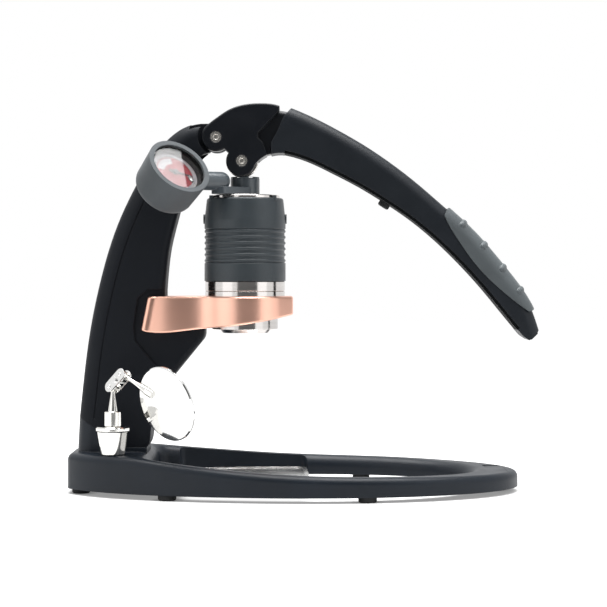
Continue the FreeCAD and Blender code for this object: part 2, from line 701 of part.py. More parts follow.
def make_tongue():
    """The narrow tongue that carries the pivot, with the post's own top line."""
    root = PIVOT_X - SWING_RADIUS - TONGUE_ROOT
    back = about_pivot(POST_BACK_HIGH[1:])
    end = about_pivot([TONGUE_TOP])[0]
    low = about_pivot(POST_FRONT_TOP)[1]
    knee = (root, low[1] - TONGUE_ROOT)
    edges = [curve(back)] + chain([back[-1], end, (PIVOT_X, PIVOT_Z), low, knee, back[0]])
    stem = slab(edges, TONGUE_HALF)
    end = cross_pin(TONGUE_END_RADIUS, -TONGUE_HALF, TONGUE_HALF, PIVOT_X, PIVOT_Z)
    return stem.fuse(end)


def make_post():
    body = slab(post_edges(), POST_HALF)
    back = curve(post_back_points())
    body = smooth_edges(body, POST_BACK_ROUND, lambda e: follows(e, back, POST_HALF))
    high = curve(post_high_front())
    straight = chain([(POST_FRONT_X, POST_FRONT_KNEE_Z), post_high_front()[0]])[0]
    body = smooth_edges(body, POST_FRONT_ROUND, lambda e: follows(e, high, POST_HALF)
                        or follows(e, straight, POST_HALF))
    shoulder = cross_pin(POST_SHOULDER_RADIUS, -POST_HALF - OVERCUT, POST_HALF + OVERCUT, PIVOT_X, PIVOT_Z)
    swing_half = HEAD_HALF + SWING_GAP
    swing = cross_pin(SWING_RADIUS, -swing_half, swing_half, PIVOT_X, PIVOT_Z)
    body = body.cut([shoulder, swing, seat_fields(), groove_strips()])
    body = body.fuse([make_gusset(), make_tongue()]).removeSplitter()
    bores = [cross_pin(PIN_RADIUS + BUSH_WALL, -HEAD_HALF, HEAD_HALF, PIVOT_X, PIVOT_Z)]
    for x in POST_BOLT_XS:
        bores.append(disc(POST_BOLT_RADIUS, POST_BOLT_LENGTH, x, 0, RING_BOTTOM + POST_BOLT_HEAD))
    for z in BRACKET_BOLT_ZS:
        seat = V(BRACKET_BOLT_HEAD_X, 0, z)
        reach = BRACKET_BOLT_HEAD_X - RING_REAR_X
        bores.append(Part.makeCylinder(BRACKET_BOLT_RADIUS, BRACKET_BOLT_TIP_X - seat.x, seat, FRONT))
        bores.append(Part.makeCylinder(BRACKET_BOLT_HEAD_RADIUS, reach, seat, FRONT * -1))
    return body.cut(bores)


def socket_bolt(radius, length, head_radius, head_height, seat, direction):
    """A socket head bolt: seat is under the head, direction is the way the shank points."""
    head = Part.makeCylinder(head_radius - BOLT_HEAD_CLEAR, head_height, seat, direction * -1)
    shank = Part.makeCylinder(radius, length, seat, direction)
    socket = hexagon(head_radius / 2, head_height / 2, seat - direction * head_height, direction)
    return head.fuse(shank).removeSplitter().cut(socket)


def make_post_bolts():
    seat_z = RING_BOTTOM + POST_BOLT_HEAD
    head = POST_BOLT_HEAD - POST_BOLT_SUNK
    bolts = [socket_bolt(POST_BOLT_RADIUS, POST_BOLT_LENGTH, POST_BOLT_HEAD_RADIUS, head, V(x, 0, seat_z), UP)
             for x in POST_BOLT_XS]
    return Part.makeCompound(bolts)


def make_bracket_bolts():
    length = BRACKET_BOLT_TIP_X - BRACKET_BOLT_HEAD_X
    bolts = [socket_bolt(BRACKET_BOLT_RADIUS, length, BRACKET_BOLT_HEAD_RADIUS, BRACKET_BOLT_HEAD,
                         V(BRACKET_BOLT_HEAD_X, 0, z), FRONT) for z in BRACKET_BOLT_ZS]
    return Part.makeCompound(bolts)


def make_pivot_bush():
    bush = cross_pin(PIN_RADIUS + BUSH_WALL, -TONGUE_HALF, TONGUE_HALF, PIVOT_X, PIVOT_Z)
    return bush.cut(cross_pin(PIN_RADIUS + RUNNING_GAP, -TONGUE_HALF, TONGUE_HALF, PIVOT_X, PIVOT_Z))


# Portafilter bracket

def eye_point(angle, z):
    return V(BREW_X + RING_EYE_RADIUS * cos(angle), RING_EYE_RADIUS * sin(angle), z)


def bracket_plan(low, height):
    """Plan of the fork: two arms, a round eye, and a facetted front."""
    arm = SEAT_HALF + BRACKET_ARM
    join_angle = pi - asin(arm / RING_EYE_RADIUS)
    facet_angle = radians(EYE_FACET_ANGLE)
    rear = V(BRACKET_REAR_BOTTOM_X, arm, low)
    join = eye_point(join_angle, low)
    facet = eye_point(facet_angle, low)
    front = V(BREW_X + EYE_FRONT_REACH, EYE_FRONT_HALF, low)
    left = [Part.LineSegment(rear, join).toShape(),
            Part.Arc(join, eye_point((join_angle + facet_angle) / 2, low), facet).toShape(),
            Part.LineSegment(facet, front).toShape()]
    right = [edge.mirror(V(0, 0, 0), SIDE) for edge in left]
    ends = [Part.LineSegment(corner, V(corner.x, -corner.y, low)).toShape() for corner in (rear, front)]
    outline = Part.Wire(Part.sortEdges(left + right + ends)[0])
    body = Part.Face(outline).extrude(V(0, 0, height))
    body = smooth_edges(body, EYE_WAIST_ROUND, lambda e: upright(e) and abs(middle(e).x - join.x) < NEAR)
    return smooth_edges(body, EYE_FRONT_ROUND, lambda e: upright(e) and middle(e).x > facet.x + OVERCUT)


def bracket_cuts(low):
    """What is taken off the plan: the underside's curve, the slanted rear, and the slot for the post."""
    under = BRACKET_UNDERSIDE
    wide = POST_HALF + RING_EYE_RADIUS
    floor = low - OVERCUT
    roof = BRACKET_TOP + OVERCUT
    below = [bracket_underside()] + chain([under[-1], (under[-1][0], floor), (RING_REAR_X, floor),
                                           (RING_REAR_X, under[0][1]), under[0]])
    rear = [(BRACKET_REAR_BOTTOM_X, under[0][1]), (BRACKET_REAR_TOP_X, BRACKET_TOP),
            (BRACKET_REAR_TOP_X, roof),
            (RING_REAR_X, roof), (RING_REAR_X, under[0][1])]
    reach = POST_FRONT_X - RING_REAR_X
    slot = Part.makeBox(reach, 2 * SEAT_HALF, roof - floor, V(RING_REAR_X, -SEAT_HALF, floor))
    return [slab(below, wide), polygon_slab(rear, wide), slot]


def make_bracket():
    low = CUP_BOTTOM
    arm = SEAT_HALF + BRACKET_ARM
    body = bracket_plan(low, BRACKET_TOP - low).cut(bracket_cuts(low))
    body = smooth_edges(body, BRACKET_REAR_ROUND, lambda e: abs(abs(middle(e).y) - arm) < NEAR
                        and middle(e).x < BRACKET_REAR_TOP_X + NEAR and abs(e.tangentAt(e.FirstParameter).z) > 0.5)
    body = smooth_edges(body, BRACKET_EDGE, lambda e: middle(e).z > BRACKET_TOP - NEAR
                        and (abs(middle(e).y) > SEAT_HALF + NEAR or middle(e).x > BREW_X))
    under = bracket_underside()
    body = smooth_edges(body, BRACKET_LOW_EDGE, lambda e: middle(e).x > SEAT_FIELD[-1][0]
                        and abs(middle(e).y) > SEAT_HALF + NEAR and on_guide(middle(e), under))
    eye = disc(CUP_RADIUS + CUP_GAP, BRACKET_TOP - low + 2 * OVERCUT, BREW_X, 0, low - OVERCUT)
    reach = BRACKET_BOLT_TIP_X - POST_FRONT_X
    bolts = [Part.makeCylinder(BRACKET_BOLT_RADIUS, reach, V(POST_FRONT_X, 0, z), FRONT)
             for z in BRACKET_BOLT_ZS]
    return body.cut([eye] + bolts)


# Portafilter cup and what it holds

def make_cup():
    """The bottomless cup, with the flange that hangs in the bracket's eye."""
    bore = CUP_RADIUS - CUP_WALL
    body = turned([(bore, CUP_BOTTOM + CUP_LIP), (CUP_RADIUS - CUP_LIP_WALL, CUP_BOTTOM + CUP_LIP),
                   (CUP_RADIUS - CUP_LIP_WALL, CUP_BOTTOM), (CUP_RADIUS - CUP_CHAMFER, CUP_BOTTOM),
                   (CUP_RADIUS, CUP_BOTTOM + CUP_CHAMFER), (CUP_RADIUS, BRACKET_TOP),
                   (CUP_FLANGE_RADIUS, BRACKET_TOP), (CUP_FLANGE_RADIUS, FLANGE_TOP),
                   (BASKET_RIM_RADIUS, FLANGE_TOP), (BASKET_RIM_RADIUS, FLANGE_TOP - BASKET_RIM),
                   (bore, FLANGE_TOP - BASKET_RIM)], BREW_X)
    return body


def hole_rings(pitch, low, high):
    """Small holes on two rings about the brew axis, and one in the middle."""
    holes = [disc(HOLE_RADIUS, high - low, BREW_X, 0, low)]
    for ring in (1, 2):
        reach = ring * pitch
        for i in range(6 * ring):
            angle = i * pi / (3 * ring)
            holes.append(disc(HOLE_RADIUS, high - low, BREW_X + reach * cos(angle), reach * sin(angle), low))
    return holes


def make_basket():
    outer = CUP_RADIUS - CUP_WALL - FIT
    inner = outer - BASKET_WALL
    floor = FLANGE_TOP - BASKET_DEPTH
    slant = BASKET_SLANT
    body = turned([(0, floor), (outer - slant, floor), (outer, floor + slant), (outer, FLANGE_TOP - BASKET_RIM),
                   (BASKET_RIM_RADIUS, FLANGE_TOP - BASKET_RIM), (BASKET_RIM_RADIUS, FLANGE_TOP),
                   (inner, FLANGE_TOP), (inner, floor + BASKET_WALL + slant), (inner - slant, floor + BASKET_WALL),
                   (0, floor + BASKET_WALL)], BREW_X)
    return body.cut(hole_rings(BASKET_HOLE_PITCH, floor - OVERCUT, floor + BASKET_WALL + OVERCUT))


def make_screen():
    radius = CUP_RADIUS - CUP_WALL - FIT - BASKET_WALL - FIT
    low = FLANGE_TOP - SCREEN_DROP
    holes = hole_rings(SCREEN_HOLE_PITCH, low - OVERCUT, low + SCREEN_THICKNESS + OVERCUT)
    return disc(radius, SCREEN_THICKNESS, BREW_X, 0, low).cut(holes)


def make_gasket():
    return turned([(CYLINDER_BORE, FLANGE_TOP), (BASKET_RIM_RADIUS, FLANGE_TOP),
                   (BASKET_RIM_RADIUS, CYLINDER_BOTTOM), (CYLINDER_BORE, CYLINDER_BOTTOM)], BREW_X)


def make_cylinder():
    return turned([(CYLINDER_BORE, CYLINDER_BOTTOM), (CYLINDER_RADIUS, CYLINDER_BOTTOM),
                   (CYLINDER_RADIUS, CYLINDER_TOP), (CYLINDER_BORE, CYLINDER_TOP)], BREW_X)


def make_cylinder_collar():
    top = FLANGE_TOP + COLLAR_HEIGHT
    return turned([(CYLINDER_RADIUS, FLANGE_TOP), (CUP_FLANGE_RADIUS - COLLAR_EDGE, FLANGE_TOP),
                   (CUP_FLANGE_RADIUS, FLANGE_TOP + COLLAR_EDGE), (CUP_FLANGE_RADIUS, top - COLLAR_EDGE),
                   (CUP_FLANGE_RADIUS - COLLAR_EDGE, top), (CYLINDER_RADIUS, top)], BREW_X)


def sleeve_profile(low, top):
    """Half section of the sleeve: rounded ribs below, a plain band above, and a round shoulder."""
    skin = SLEEVE_RADIUS
    root = skin - SLEEVE_RIB_RISE
    corner = SLEEVE_SHOULDER * (1 - sin(pi / 4))
    first_low = SLEEVE_RIB_FIRST_Z - SLEEVE_RIB_HALF
    line = [(CYLINDER_RADIUS, low), (skin, low), (skin, first_low - SLEEVE_RIB_RISE)]
    edges = chain(line)
    here = line[-1]
    for i in range(SLEEVE_RIBS):
        z = SLEEVE_RIB_FIRST_Z + i * SLEEVE_RIB_PITCH
        foot, head = (root, z - SLEEVE_RIB_HALF), (root, z + SLEEVE_RIB_HALF)
        edges += chain([here, foot])
        edges.append(Part.Arc(point(*foot), point(skin, z), point(*head)).toShape())
        here = head
    edges += chain([here, (skin, here[1] + SLEEVE_RIB_RISE), (skin, SLEEVE_TAPER_Z)])
    here = (skin, SLEEVE_TAPER_Z)
    skin -= SLEEVE_TAPER
    shoulder = (skin, top - SLEEVE_SHOULDER)
    crown = (skin - SLEEVE_SHOULDER, top)
    edges += chain([here, shoulder])
    edges.append(Part.Arc(point(*shoulder), point(skin - corner, top - corner), point(*crown)).toShape())
    mouth = CAP_RADIUS + SLEEVE_TOP_LIP
    edges += chain([crown, (mouth, top), (mouth, CYLINDER_TOP), (CYLINDER_RADIUS, CYLINDER_TOP), line[0]])
    return edges


def make_sleeve():
    """Silicone sleeve with round ribs, pads on two sides and nubs on its top edge."""
    low = FLANGE_TOP + COLLAR_HEIGHT
    top = CYLINDER_TOP + SLEEVE_TOP_LIP
    body = Part.Face(Part.Wire(sleeve_profile(low, top))).revolve(V(0, 0, 0), UP, 360)
    body.translate(V(BREW_X, 0, 0))
    extras = []
    reach = SLEEVE_RADIUS + SLEEVE_PAD_RISE
    for side in (-1, 1):
        extras.append(Part.makeCylinder(SLEEVE_PAD_RADIUS, reach, V(BREW_X, 0, SLEEVE_PAD_Z), FRONT * side))
    for angle in SLEEVE_NUB_ANGLES:
        x = BREW_X + SLEEVE_NUB_CIRCLE * cos(radians(angle))
        y = SLEEVE_NUB_CIRCLE * sin(radians(angle))
        nub = disc(SLEEVE_NUB_RADIUS, SLEEVE_SHOULDER + SLEEVE_NUB_RISE, x, y, top - SLEEVE_SHOULDER)
        extras.append(nub)
    core = disc(CYLINDER_RADIUS, CYLINDER_TOP - low, BREW_X, 0, low)
    return body.fuse([extra.cut(core) for extra in extras]).removeSplitter()


def make_cylinder_cap():
    spigot = CYLINDER_BORE - FIT
    bore = STEM_RADIUS + RUNNING_GAP
    return turned([(bore, CYLINDER_TOP - CAP_SPIGOT), (spigot, CYLINDER_TOP - CAP_SPIGOT), (spigot, CYLINDER_TOP),
                   (CAP_RADIUS, CYLINDER_TOP), (CAP_RADIUS, CAP_TOP - CAP_EDGE), (CAP_RADIUS - CAP_EDGE, CAP_TOP),
                   (bore, CAP_TOP)], BREW_X)


# Plunger

def make_piston():
    radius = CYLINDER_BORE - PISTON_CLEAR
    top = PISTON_BOTTOM + PISTON_HEIGHT
    profile = [(0, PISTON_BOTTOM), (radius - 2 * PISTON_CONE, PISTON_BOTTOM)]
    profile.append((radius, PISTON_BOTTOM + PISTON_CONE))
    for height in SEAL_HEIGHTS:
        low = PISTON_BOTTOM + height - SEAL_SECTION
        high = PISTON_BOTTOM + height + SEAL_SECTION
        root = radius - 2 * SEAL_SECTION
        profile += [(radius, low), (root, low), (root, high), (radius, high)]
    profile += [(radius, top), (0, top)]
    return turned(profile, BREW_X)


def make_piston_seals():
    """Two square seals that run in the cylinder's bore."""
    outer = CYLINDER_BORE - RUNNING_GAP
    inner = CYLINDER_BORE - PISTON_CLEAR - 2 * SEAL_SECTION
    seals = []
    for height in SEAL_HEIGHTS:
        low = PISTON_BOTTOM + height - SEAL_SECTION
        high = PISTON_BOTTOM + height + SEAL_SECTION
        seals.append(turned([(inner, low), (outer - SEAL_EDGE, low), (outer, low + SEAL_EDGE),
                             (outer, high - SEAL_EDGE), (outer - SEAL_EDGE, high), (inner, high)], BREW_X))
    return Part.makeCompound(seals)


def make_stem():
    bottom = PISTON_BOTTOM + PISTON_HEIGHT
    return turned([(0, bottom), (STEM_RADIUS, bottom), (STEM_RADIUS, BOSS_BOTTOM), (STEM_NECK_RADIUS, BOSS_BOTTOM),
                   (STEM_NECK_RADIUS, BOSS_TOP), (0, BOSS_TOP)], BREW_X)


def make_plunger_cap():
    """The pressed face on top of the stem, with tabs round its edge."""
    radius = BOSS_RADIUS - FIT
    body = disc(radius, PLUNGER_CAP_HEIGHT, BREW_X, 0, BOSS_TOP)
    ring = disc(radius, PLUNGER_TAB_RISE, BREW_X, 0, PLUNGER_TOP)
    ring = ring.cut(disc(PLUNGER_TAB_INNER, PLUNGER_TAB_RISE, BREW_X, 0, PLUNGER_TOP))
    gaps = []
    for i in range(PLUNGER_TABS):
        gap = Part.makeBox(BOSS_RADIUS, PLUNGER_TAB_SPACE, PLUNGER_CAP_HEIGHT, V(0, -PLUNGER_TAB_SPACE / 2, 0))
        gap.rotate(V(0, 0, 0), UP, i * 360.0 / PLUNGER_TABS)
        gap.translate(V(BREW_X, 0, PLUNGER_TOP))
        gaps.append(gap)
    return body.fuse(ring.cut(gaps)).removeSplitter()


# Lever

def on_circle(x, z, radius, angle):
    return point(x + radius * cos(angle), z + radius * sin(angle))


def arc_about(x, z, radius, first, last):
    """An arc of the side view from one angle to another, in radians."""
    return Part.Arc(on_circle(x, z, radius, first), on_circle(x, z, radius, (first + last) / 2),
                    on_circle(x, z, radius, last)).toShape()


def head_crown():
    """Top line of the head, leaving the pivot's lobe without a kink."""
    angle = radians(HEAD_CROWN_ANGLE)
    start = on_circle(PIVOT_X, PIVOT_Z, PIVOT_LOBE_RADIUS, angle)
    crown = Part.BSplineCurve()
    crown.interpolate(Points=[start] + [point(x, z) for x, z in about_pivot(HEAD_TOP)],
                      InitialTangent=V(sin(angle), 0, -cos(angle)), FinalTangent=V(0.93, 0, -0.36))
    return crown.toShape()


def head_edges():
    """Side view of the lever head: crown, slanted end, hollow underside and two lobes."""
    end = about_pivot(HEAD_TOP[-1:] + HEAD_END)
    under = about_pivot(HEAD_UNDER)
    x, z = about_pivot([PRESS_LOBE])[0]
    turn = atan2(z - PIVOT_Z, x - PIVOT_X)
    leave = atan2(under[0][1] - z, under[0][0] - x)
    meet = turn - pi + radians(LOBE_MEET_ANGLE)
    near = turn - radians(LOBE_MEET_ANGLE)
    lobe_start = on_circle(x, z, PRESS_LOBE_RADIUS, leave)
    notch_low = on_circle(x, z, PRESS_LOBE_RADIUS, meet)
    notch_high = on_circle(PIVOT_X, PIVOT_Z, PIVOT_LOBE_RADIUS, near)
    edges = [head_crown()] + chain(end)
    edges.append(Part.Arc(point(*end[-1]), point(*under[1]), lobe_start).toShape())
    edges.append(arc_about(x, z, PRESS_LOBE_RADIUS, leave, meet))
    edges.append(Part.LineSegment(notch_low, notch_high).toShape())
    edges.append(arc_about(PIVOT_X, PIVOT_Z, PIVOT_LOBE_RADIUS, near, radians(HEAD_CROWN_ANGLE - 360)))
    return edges


def head_slot():
    """The space between the cheeks: round the post's tongue and round the roller."""
    reach = PRESS_Z / 4
    angle = radians(HEAD_SLOT_ANGLE)
    corner = (PIVOT_X + reach * cos(angle), PIVOT_Z + reach * sin(angle))
    sector = polygon_slab([(PIVOT_X, PIVOT_Z), corner, (PIVOT_X - reach, PIVOT_Z + reach),
                           (PIVOT_X - reach, PRESS_Z - reach), (PRESS_X, PRESS_Z - reach), (PRESS_X, PRESS_Z)],
                          HEAD_SLOT_HALF)
    return [sector, cross_pin(HEAD_SLOT_ROOT, -HEAD_SLOT_HALF, HEAD_SLOT_HALF, PIVOT_X, PIVOT_Z),
            cross_pin(ROLLER_RADIUS + ROLLER_SLOT_GAP, -HEAD_SLOT_HALF, HEAD_SLOT_HALF, PRESS_X, PRESS_Z)]


def make_spigot(half):
    """The end of the head that the handle slides over, with its neck and rounded top edges."""
    outline = SPIGOT_TOP + SPIGOT_BOTTOM + SPIGOT_NECK + SPIGOT_ROOT + SPIGOT_TOP[:1]
    body = slab(chain(about_pivot(outline)), half)
    top = Part.Wire(chain(about_pivot(SPIGOT_TOP)))
    return smooth_edges(body, SPIGOT_ROUND, lambda e: follows(e, top, half))


def pin_bores(x, z):
    """Through bore with a counterbore on each flank for the heads."""
    depth = PIN_HEAD_HEIGHT + PIN_HEAD_SUNK
    outside = HEAD_HALF + OVERCUT
    return [cross_pin(PIN_RADIUS, -outside, outside, x, z),
            cross_pin(PIN_HEAD_RADIUS, -outside, -HEAD_HALF + depth, x, z),
            cross_pin(PIN_HEAD_RADIUS, HEAD_HALF - depth, outside, x, z)]


def make_lever_head():
    cheeks = slab(head_edges(), HEAD_HALF)
    crown = head_crown()
    cheeks = smooth_edges(cheeks, HEAD_EDGE, lambda e: follows(e, crown, HEAD_HALF))
    body = cheeks.fuse(make_spigot(SPIGOT_HALF)).removeSplitter()
    body = body.cut(head_slot() + pin_bores(PIVOT_X, PIVOT_Z) + pin_bores(PRESS_X, PRESS_Z))
    return body.cut(handle_screw_shapes())


def pin_pair(x, z):
    """A barrel with a head on the far flank, and the socket screw that closes it on the near flank."""
    face = HEAD_HALF - PIN_HEAD_SUNK
    barrel = cross_pin(PIN_RADIUS, -face + PIN_HEAD_HEIGHT, face - PIN_HEAD_HEIGHT, x, z)
    head = cross_pin(PIN_HEAD_RADIUS, face - PIN_HEAD_HEIGHT, face, x, z)
    bore = cross_pin(PIN_SCREW_RADIUS, -face, 0, x, z)
    socket = hexagon(HEX_RADIUS, HEX_DEPTH, V(x, face, z), SIDE * -1)
    pin = barrel.fuse(head).removeSplitter().cut([bore, socket])
    cap = cross_pin(PIN_HEAD_RADIUS, -face, -face + PIN_HEAD_HEIGHT, x, z)
    shank = cross_pin(PIN_SCREW_RADIUS, -face + PIN_HEAD_HEIGHT, 0, x, z)
    screw = cap.fuse(shank).removeSplitter().cut(hexagon(HEX_RADIUS, HEX_DEPTH, V(x, -face, z), SIDE))
    return pin, screw


def make_roller():
    wheel = cross_pin(ROLLER_RADIUS, -ROLLER_HALF, ROLLER_HALF, PRESS_X, PRESS_Z)
    wheel = smooth_edges(wheel, ROLLER_EDGE, lambda e: abs(e.Length - 2 * pi * ROLLER_RADIUS) < NEAR)
    return wheel.cut(cross_pin(PIN_RADIUS + BUSH_WALL, -ROLLER_HALF, ROLLER_HALF, PRESS_X, PRESS_Z))


def make_roller_bush():
    bush = cross_pin(PIN_RADIUS + BUSH_WALL, -ROLLER_HALF, ROLLER_HALF, PRESS_X, PRESS_Z)
    return bush.cut(cross_pin(PIN_RADIUS + RUNNING_GAP, -ROLLER_HALF, ROLLER_HALF, PRESS_X, PRESS_Z))


def handle_edges():
    """Side view of the handle casting, tip and grip included."""
    top = about_pivot(HANDLE_TOP)
    bottom = about_pivot(HANDLE_BOTTOM)
    tip = about_pivot(HANDLE_TIP)
    start = about_pivot(HANDLE_START)
    edges = [curve(top)]
    edges += chain([top[-1], tip[2]])
    edges.append(Part.Arc(point(*tip[2]), point(*tip[1]), point(*tip[0])).toShape())
    edges += chain([tip[0], bottom[-1]])
    edges.append(curve(bottom[::-1]))
    edges += chain(start[::-1])
    return edges


def underside_band(low, high, half):
    """A strip along the handle's underside, between two heights above its lower line."""
    bottom = about_pivot(HANDLE_BOTTOM)
    whole = curve(bottom)
    begin = share_at(whole, PIVOT_X + STRIP_START)
    end = share_at(whole, PIVOT_X + STRIP_END)
    lower = shifted_curve(bottom, low, begin, end, len(bottom))
    upper = shifted_curve(bottom, high, begin, end, len(bottom))
    edges = [curve(lower)] + chain([lower[-1], upper[-1]])
    edges += [curve(upper[::-1])] + chain([upper[0], lower[0]])
    return slab(edges, half)


def share_at(edge, x):
    """Share of an edge's parameter range at which it passes one value of X."""
    low, high = 0.0, 1.0
    span = edge.LastParameter - edge.FirstParameter
    for _ in range(40):
        half = (low + high) / 2
        if edge.valueAt(edge.FirstParameter + half * span).x < x:
            low = half
        else:
            high = half
    return (low + high) / 2


def underside_frame(x):
    """Point of the handle's lower line at one X from the pivot, and the direction into the handle."""
    line = curve(about_pivot(HANDLE_BOTTOM))
    span = line.LastParameter - line.FirstParameter
    u = line.FirstParameter + share_at(line, PIVOT_X + x) * span
    along = line.tangentAt(u)
    return line.valueAt(u), V(-along.z, 0, along.x)


def handle_screw_shapes():
    shapes = []
    for x in HANDLE_SCREW_STATIONS:
        foot, inward = underside_frame(x)
        seat = foot + inward * (STRIP_HEIGHT + STRIP_SUNK + HANDLE_SCREW_GAP)
        shank = Part.makeCylinder(HANDLE_SCREW_RADIUS, HANDLE_SCREW_LENGTH, seat, inward)
        taper = HANDLE_SCREW_HEAD - HANDLE_SCREW_RADIUS
        cone = Part.makeCone(HANDLE_SCREW_HEAD, HANDLE_SCREW_RADIUS, taper, seat, inward)
        shapes.append(shank.fuse(cone).removeSplitter())
    return shapes


def make_handle_screws():
    screws = []
    for x, shape in zip(HANDLE_SCREW_STATIONS, handle_screw_shapes()):
        foot, inward = underside_frame(x)
        seat = foot + inward * (STRIP_HEIGHT + STRIP_SUNK + HANDLE_SCREW_GAP)
        screws.append(shape.cut(hexagon(HEX_RADIUS, HEX_DEPTH, seat, inward)))
    return Part.makeCompound(screws)


def grip_top(first_x):
    """Points of the line that stands over the handle's top by the grip's rise, from one X to its end."""
    line = about_pivot(HANDLE_TOP)
    return shifted_curve(line, GRIP_RISE, share_at(curve(line), PIVOT_X + first_x), 1.0, len(HANDLE_TOP))


def grip_blank(half):
    """Side view of the grip between two flanks, with round corners at its ends."""
    top = grip_top(GRIP_START_X)
    low = about_pivot(GRIP_LOW)
    edges = [curve(top)] + chain([top[-1], low[-1]]) + [curve(low[::-1])] + chain([low[0], top[0]])
    return smooth_edges(slab(edges, half), GRIP_CORNER, crossways)


def grip_shoulders(half, radius):
    """A wide block under the grip's top line with both long edges rounded."""
    top = grip_top(GRIP_START_X - 2 * radius)
    line = curve(top)
    ahead = line.tangentAt(line.LastParameter) * 2 * radius
    end = (top[-1][0] + ahead.x, top[-1][1] + ahead.z)
    low = about_pivot(GRIP_LOW)[-1][1] - 2 * radius
    edges = [line] + chain([top[-1], end, (end[0], low), (top[0][0], low), top[0]])
    return smooth_edges(slab(edges, half), radius, lambda e: follows(e, line, half))


def make_handle_blank():
    blank = slab(handle_edges(), HANDLE_HALF)
    top = curve(about_pivot(HANDLE_TOP))
    return smooth_edges(blank, HANDLE_TOP_ROUND, lambda e: follows(e, top, HANDLE_HALF))


def make_grip_core():
    """What is left of the handle under the grip: narrower, and lower by the grip's wall."""
    top = shifted_curve(about_pivot(HANDLE_TOP), -GRIP_WALL, 0.0, 1.0, len(HANDLE_TOP))
    bottom = about_pivot(HANDLE_BOTTOM)
    edges = [curve(top)] + chain([top[-1], bottom[-1]]) + [curve(bottom[::-1])] + chain([bottom[0], top[0]])
    core = slab(edges, HANDLE_HALF - GRIP_WALL)
    line = curve(top)
    return smooth_edges(core, HANDLE_TOP_ROUND - GRIP_WALL / 2,
                        lambda e: follows(e, line, HANDLE_HALF - GRIP_WALL))


def make_handle(blank, core):
    region = grip_blank(HANDLE_HALF + OVERCUT)
    body = blank.cut(region).fuse(blank.common(region).common(core))
    body = body.removeSplitter()
    body = body.cut(underside_band(-STRIP_HEIGHT, STRIP_HEIGHT, HANDLE_HALF + OVERCUT))
    body = body.cut(underside_band(0.0, STRIP_HEIGHT + STRIP_SUNK, STRIP_HALF))
    body = body.cut(make_spigot(SPIGOT_HALF + FIT))
    return body.cut(handle_screw_shapes() + [tip_bumper_block(TIP_BUMPER_HALF + FIT)])


def make_strip():
    strip = underside_band(0.0, STRIP_HEIGHT + STRIP_SUNK, STRIP_HALF)
    return strip.cut(rest_bumper_bar(OVERCUT))


def grip_rib(top, x, shoulder, half):
    """A round bar across the grip that bends down over both shoulders and ends in balls."""
    u = top.FirstParameter + share_at(top, x) * (top.LastParameter - top.FirstParameter)
    along = top.tangentAt(u)
    inward = V(along.z, 0, -along.x)
    bend = shoulder + GRIP_RIB_RISE - GRIP_RIB_RADIUS
    centre = top.valueAt(u) + inward * shoulder
    straight = half - shoulder
    crest = centre - inward * bend
    pieces = [Part.makeCylinder(GRIP_RIB_RADIUS, 2 * straight, crest - SIDE * straight, SIDE)]
    for side in (-1, 1):
        turn = FreeCAD.Rotation(inward * -1, SIDE * side, along, "XYZ")
        place = FreeCAD.Placement(centre + SIDE * side * straight, turn)
        arm = Part.makeTorus(bend, GRIP_RIB_RADIUS, V(0, 0, 0), UP, 0, 360, GRIP_RIB_SWEEP)
        angle = radians(GRIP_RIB_SWEEP)
        ball = Part.makeSphere(GRIP_RIB_RADIUS, V(bend * cos(angle), bend * sin(angle), 0))
        for piece in (arm, ball):
            piece.Placement = place.multiply(piece.Placement)
            pieces.append(piece)
    return pieces[0].fuse(pieces[1:])


def make_grip(core):
    """Rubber grip: a shell over the handle's end with four ribs across it."""
    half = HANDLE_HALF + GRIP_SIDE
    low = curve(about_pivot(GRIP_LOW))
    shoulder = HANDLE_TOP_ROUND + GRIP_SIDE
    shell = smooth_edges(grip_blank(half), GRIP_EDGE, lambda e: follows(e, low, half))
    shell = shell.common(grip_shoulders(half, shoulder))
    top = curve(grip_top(GRIP_START_X))
    ribs = [grip_rib(top, PIVOT_X + x, shoulder, half) for x in GRIP_RIB_XS]
    return shell.fuse(ribs).cut(core).removeSplitter()


def tip_frame():
    """Middle of the tip's end face and its outward direction."""
    low, _, high = [point(*corner) for corner in about_pivot(HANDLE_TIP)]
    along = (high - low).normalize()
    return (low + high) * 0.5, along, V(along.z, 0, -along.x)


def tip_bumper_block(half):
    spot, along, outward = tip_frame()
    a = spot - along * (TIP_BUMPER_LENGTH / 2)
    b = spot + along * (TIP_BUMPER_LENGTH / 2)
    corners = [a + outward * TIP_BUMPER_RISE, b + outward * TIP_BUMPER_RISE,
               b - outward * TIP_BUMPER_SUNK, a - outward * TIP_BUMPER_SUNK]
    return polygon_slab([(c.x, c.z) for c in corners], half)


def make_tip_bumper():
    block = tip_bumper_block(TIP_BUMPER_HALF)
    spot, _, outward = tip_frame()
    return smooth_edges(block, TIP_BUMPER_EDGE, lambda e: crossways(e) and (middle(e) - spot).dot(outward) > 0)


def rest_bumper_bar(reach):
    """A round bar let into the strip, that reaches this far out of it."""
    foot, inward = underside_frame(REST_BUMPER_AT)
    return Part.makeCylinder(REST_BUMPER_RADIUS, STRIP_HEIGHT + reach, foot - inward * reach, inward)


def make_rest_bumper():
    foot, inward = underside_frame(REST_BUMPER_AT)
    body = rest_bumper_bar(REST_BUMPER_RISE)
    return smooth_edges(body, REST_BUMPER_EDGE,
                        lambda e: (middle(e) - foot).dot(inward) < -REST_BUMPER_RISE + NEAR)


# Gauge

def gauge_placement():
    """Local z runs out of the dial, local x from the gauge's middle towards the elbow."""
    normal = V(*GAUGE_NORMAL).normalize()
    face = V(*GAUGE_FACE)
    towards = V(ELBOW_X, ELBOW_Y, ELBOW_TOP) - face
    towards = (towards - normal * towards.dot(normal)).normalize()
    turn = FreeCAD.Rotation(towards, normal.cross(towards), normal, "ZXY")
    return FreeCAD.Placement(face, turn)


